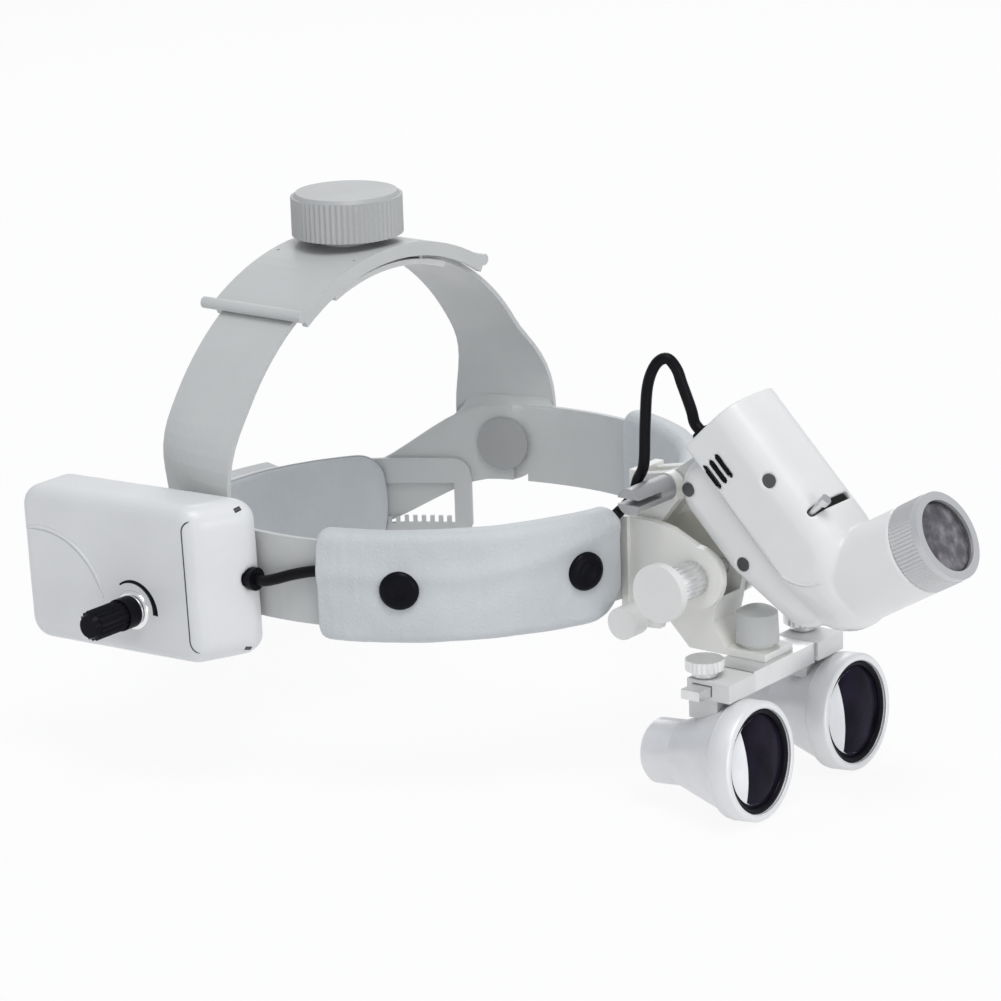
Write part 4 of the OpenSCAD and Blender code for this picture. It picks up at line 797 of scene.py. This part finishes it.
# ---- Ribbed stud of the lock knob ----
# Mean radius and rib height in mm, number of ribs, and points per rib
STUD_R, RIB_DEEP, RIBS, RIB_STEPS = 5.55, 0.2, 20, 8
stud_frame = Matrix.Translation((0, -0.110, -0.0025)) @ Matrix.Rotation(math.radians(90), 4, "Y")
rings = []
for z, grow in ((-27.7, -0.5), (-27.6, 0.12), (-11.9, 0.12), (-11.5, -0.3)):
    row = []
    for k in range(RIBS * RIB_STEPS):
        a = 2 * math.pi * k / (RIBS * RIB_STEPS)
        r = (STUD_R + grow + RIB_DEEP * math.cos(RIBS * a)) * mm
        row.append(stud_frame @ Vector((r * math.cos(a), r * math.sin(a), z * mm)))
    rings.append(row)
new_object("lock_stud", mesh_from("lock_stud", *loft(rings, True, False)), metal, "lock")


# ---- Lenses, in the millimetres of each barrel's frame ----
# Objective: radius, depth of its edge in the barrel, and height of its dome
GLASS_R, GLASS_EDGE, GLASS_RISE = 15.9, 2.5, 2.1
# Its painted reflection: radius, where it ends across the glass, and its grid
GLINT_R, GLINT_X, GLINT_ROWS, GLINT_COLS = 13.6, -6.4, 24, 4
GLASS_RADII = (0.01, 2, 4, 6, 8, 10, 12, 13.5, 14.8, GLASS_R)
RING = in_metres([(16.3, 1.6), (16.45, 0.1), (16.75, -0.2), (17.7, -0.2), (18.3, 0), (18.72, 0.5),
                  (18.76, 6.6), (18.5, 6.95), (18.2, 7), (18.2, 7.35), (17.6, 7.4)])
RING_LINE = in_metres([(17.6, 7.3), (17.98, 7.38), (17.98, 7.72), (17.5, 7.8)])
SEAT = in_metres([(14.6, 2.2), (14.7, 1.35), (15.2, 0.95), (16.3, 0.9), (16.6, 1.3), (16.6, 3)])


def barrel_frame(side):
    """Frame at a barrel's front, with Z into the barrel; side is 1 on the wearer's left."""
    m = Matrix.Translation((0.0273, -0.1453, -0.0513)) @ Matrix.Rotation(math.radians(-0.5), 4, "Z") \
        @ Matrix.Rotation(math.radians(-95), 4, "X")
    return m if side > 0 else Matrix.Scale(-1, 4, Vector(X_AXIS)) @ m


def glass_height(r):
    """Height of the objective's domed face at radius r, measured into the barrel."""
    return GLASS_EDGE - GLASS_RISE * (1 - (r / GLASS_R) ** 2)


def glint_rows(place, side):
    """Rows of points over the painted reflection on an objective, just in front of the glass."""
    rows = []
    for k in range(GLINT_ROWS + 1):
        z = -1 + 2 * k / GLINT_ROWS
        left = -math.sqrt(max(0, 1 - z * z)) * GLINT_R
        edge = max(left + 0.02, GLINT_X - 0.9 * z * z)
        row = []
        for j in range(GLINT_COLS + 1):
            x, y = left + (min(edge, 0) - left) * j / GLINT_COLS, z * GLINT_R
            if left > GLINT_X:
                x = left + 0.02 * j
            r = math.hypot(x, y)
            row.append(place @ Vector((x * side * mm, y * mm, (glass_height(r) - 0.06) * mm)))
        rows.append(row)
    return rows


for side, which in ((1, "left"), (-1, "right")):
    place = barrel_frame(side)
    body = "slide_" + which
    dome = in_metres([(r, glass_height(r)) for r in GLASS_RADII]) + [(0.0159, 0.006), (0.0001, 0.006)]
    glass = turned("front_glass_" + which, dome, place, coated, body)
    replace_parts(glass, "objective_lens_" + which)
    turned("objective_ring_" + which, RING, place, ring_satin, body)
    turned("ring_groove_" + which, RING_LINE, place, groove, body)
    # Bright sheet painted on the glass as its reflection of the studio
    glint_mesh = mesh_from("painted_reflection", *loft(glint_rows(place, side), False, False))
    new_object("painted_reflection_" + which, glint_mesh, glint, body)
    turned("glass_seat_" + which, SEAT, place, black, body)

LAMP_GLASS_R = 11.4
beam_frame = frame_at(ELBOW, Vector((0, -math.cos(BEAM), math.sin(BEAM))))
end = (TUBE_L + 0.0003 + FOCUS_L) / mm
lens_profile = in_metres([(r, end - 1.9 + 0.9 * (1 - (r / LAMP_GLASS_R) ** 2))
                          for r in (0.01, 2, 4, 6, 8, 9.6, 10.8, LAMP_GLASS_R)])
lens_profile += [(0.0114, (end - 3.5) * mm), (0.0001, (end - 3.5) * mm)]
lamp_front = turned("lamp_front_glass", lens_profile, beam_frame, lamp_glass, "focus")
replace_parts(lamp_front, "lamp_lens")

# ---- Soft edges on the CAD pieces ----
for name, width in {
    "headband": 0.0005, "crown_strap_left": 0.0005, "crown_strap_right": 0.0005, "rear_arm_left": 0.0004,
    "rear_arm_right": 0.0004, "crown_cover": 0.0006, "nape_housing": 0.0008, "nape_knob": 0.0003,
    "crown_knob": 0.00025, "front_bracket": 0.0006, "loupe_arm": 0.0007, "lock_knob": 0.0004,
    "height_knob": 0.0005, "crossbar": 0.0004, "slide_block_left": 0.0007, "slide_block_right": 0.0007,
    "bridge_knob": 0.0004, "junction_rivets": 0.0004,
    "dimmer_knob": 0.0002, "dimmer_ring": 0.0003, "thumb_screw_left": 0.00015, "thumb_screw_right": 0.00015,
    "hinge_pin": 0.0003, "filter_slide": 0.0003, "focus_ring": 0.00012, "lamp_screws": 0.0002,
    "charging_socket": 0.0003, "box_grommet": 0.0004, "lamp_grommet": 0.0003,
}.items():
    soft_edges(name, width)

# ---- Stage ----
floor_z = cad_lo.z - 0.0004


def stage_material():
    """Pale matt floor that the camera and mirrors see as nearly plain white."""
    m = bpy.data.materials.new("floor")
    m.use_nodes = True
    t = m.node_tree
    t.nodes.clear()
    out = t.nodes.new("ShaderNodeOutputMaterial")
    mix = t.nodes.new("ShaderNodeMixShader")
    diffuse = t.nodes.new("ShaderNodeBsdfDiffuse")
    diffuse.inputs["Color"].default_value = (0.86, 0.86, 0.87, 1)
    glow = t.nodes.new("ShaderNodeEmission")
    glow.inputs["Color"].default_value = (1, 1, 1, 1)
    glow.inputs["Strength"].default_value = 1.0
    rays = t.nodes.new("ShaderNodeLightPath")
    a, b, share = (t.nodes.new("ShaderNodeMath") for _ in range(3))
    a.operation = b.operation = "MAXIMUM"
    share.operation = "MULTIPLY"
    share.inputs[1].default_value = 0.9
    t.links.new(rays.outputs["Is Camera Ray"], a.inputs[0])
    t.links.new(rays.outputs["Is Glossy Ray"], a.inputs[1])
    t.links.new(a.outputs[0], b.inputs[0])
    t.links.new(rays.outputs["Is Transmission Ray"], b.inputs[1])
    t.links.new(b.outputs[0], share.inputs[0])
    t.links.new(share.outputs[0], mix.inputs["Fac"])
    t.links.new(diffuse.outputs[0], mix.inputs[1])
    t.links.new(glow.outputs[0], mix.inputs[2])
    t.links.new(mix.outputs[0], out.inputs["Surface"])
    return m


bpy.ops.mesh.primitive_plane_add(size=8, location=(0, 0, floor_z))
floor = bpy.context.object
floor.name = "floor"
floor.data.materials.append(stage_material())

# Soft sky for the part, plain white for the camera
world = bpy.data.worlds.new("world")
bpy.context.scene.world = world
world.use_nodes = True
wt = world.node_tree
wt.nodes.clear()
wout = wt.nodes.new("ShaderNodeOutputWorld")
wmix = wt.nodes.new("ShaderNodeMixShader")
soft = wt.nodes.new("ShaderNodeBackground")
soft.inputs["Color"].default_value = (0.93, 0.96, 1, 1)
soft.inputs["Strength"].default_value = 0.6
plain = wt.nodes.new("ShaderNodeBackground")
plain.inputs["Color"].default_value = (1, 1, 1, 1)
plain.inputs["Strength"].default_value = 1.0
wrays = wt.nodes.new("ShaderNodeLightPath")
wt.links.new(wrays.outputs["Is Camera Ray"], wmix.inputs["Fac"])
wt.links.new(soft.outputs[0], wmix.inputs[1])
wt.links.new(plain.outputs[0], wmix.inputs[2])
wt.links.new(wmix.outputs[0], wout.inputs["Surface"])


def area(name, place, target, size, power):
    data = bpy.data.lights.new(name, "AREA")
    data.shape = "DISK"
    data.size = size
    data.energy = power
    o = bpy.data.objects.new(name, data)
    bpy.context.scene.collection.objects.link(o)
    o.location = place
    o.rotation_euler = (Vector(target) - Vector(place)).to_track_quat("-Z", "Y").to_euler()


area("key", (-0.45, -0.6, 1.5), (0, -0.04, 0), 0.9, 10)
area("front", (-0.45, -1.7, 0.1), (0, -0.08, 0), 1.0, 6.5)
area("rim", (1.1, 0.7, 0.9), (0, -0.04, 0), 0.8, 4)

scene = bpy.context.scene
scene.view_settings.view_transform = "Standard"
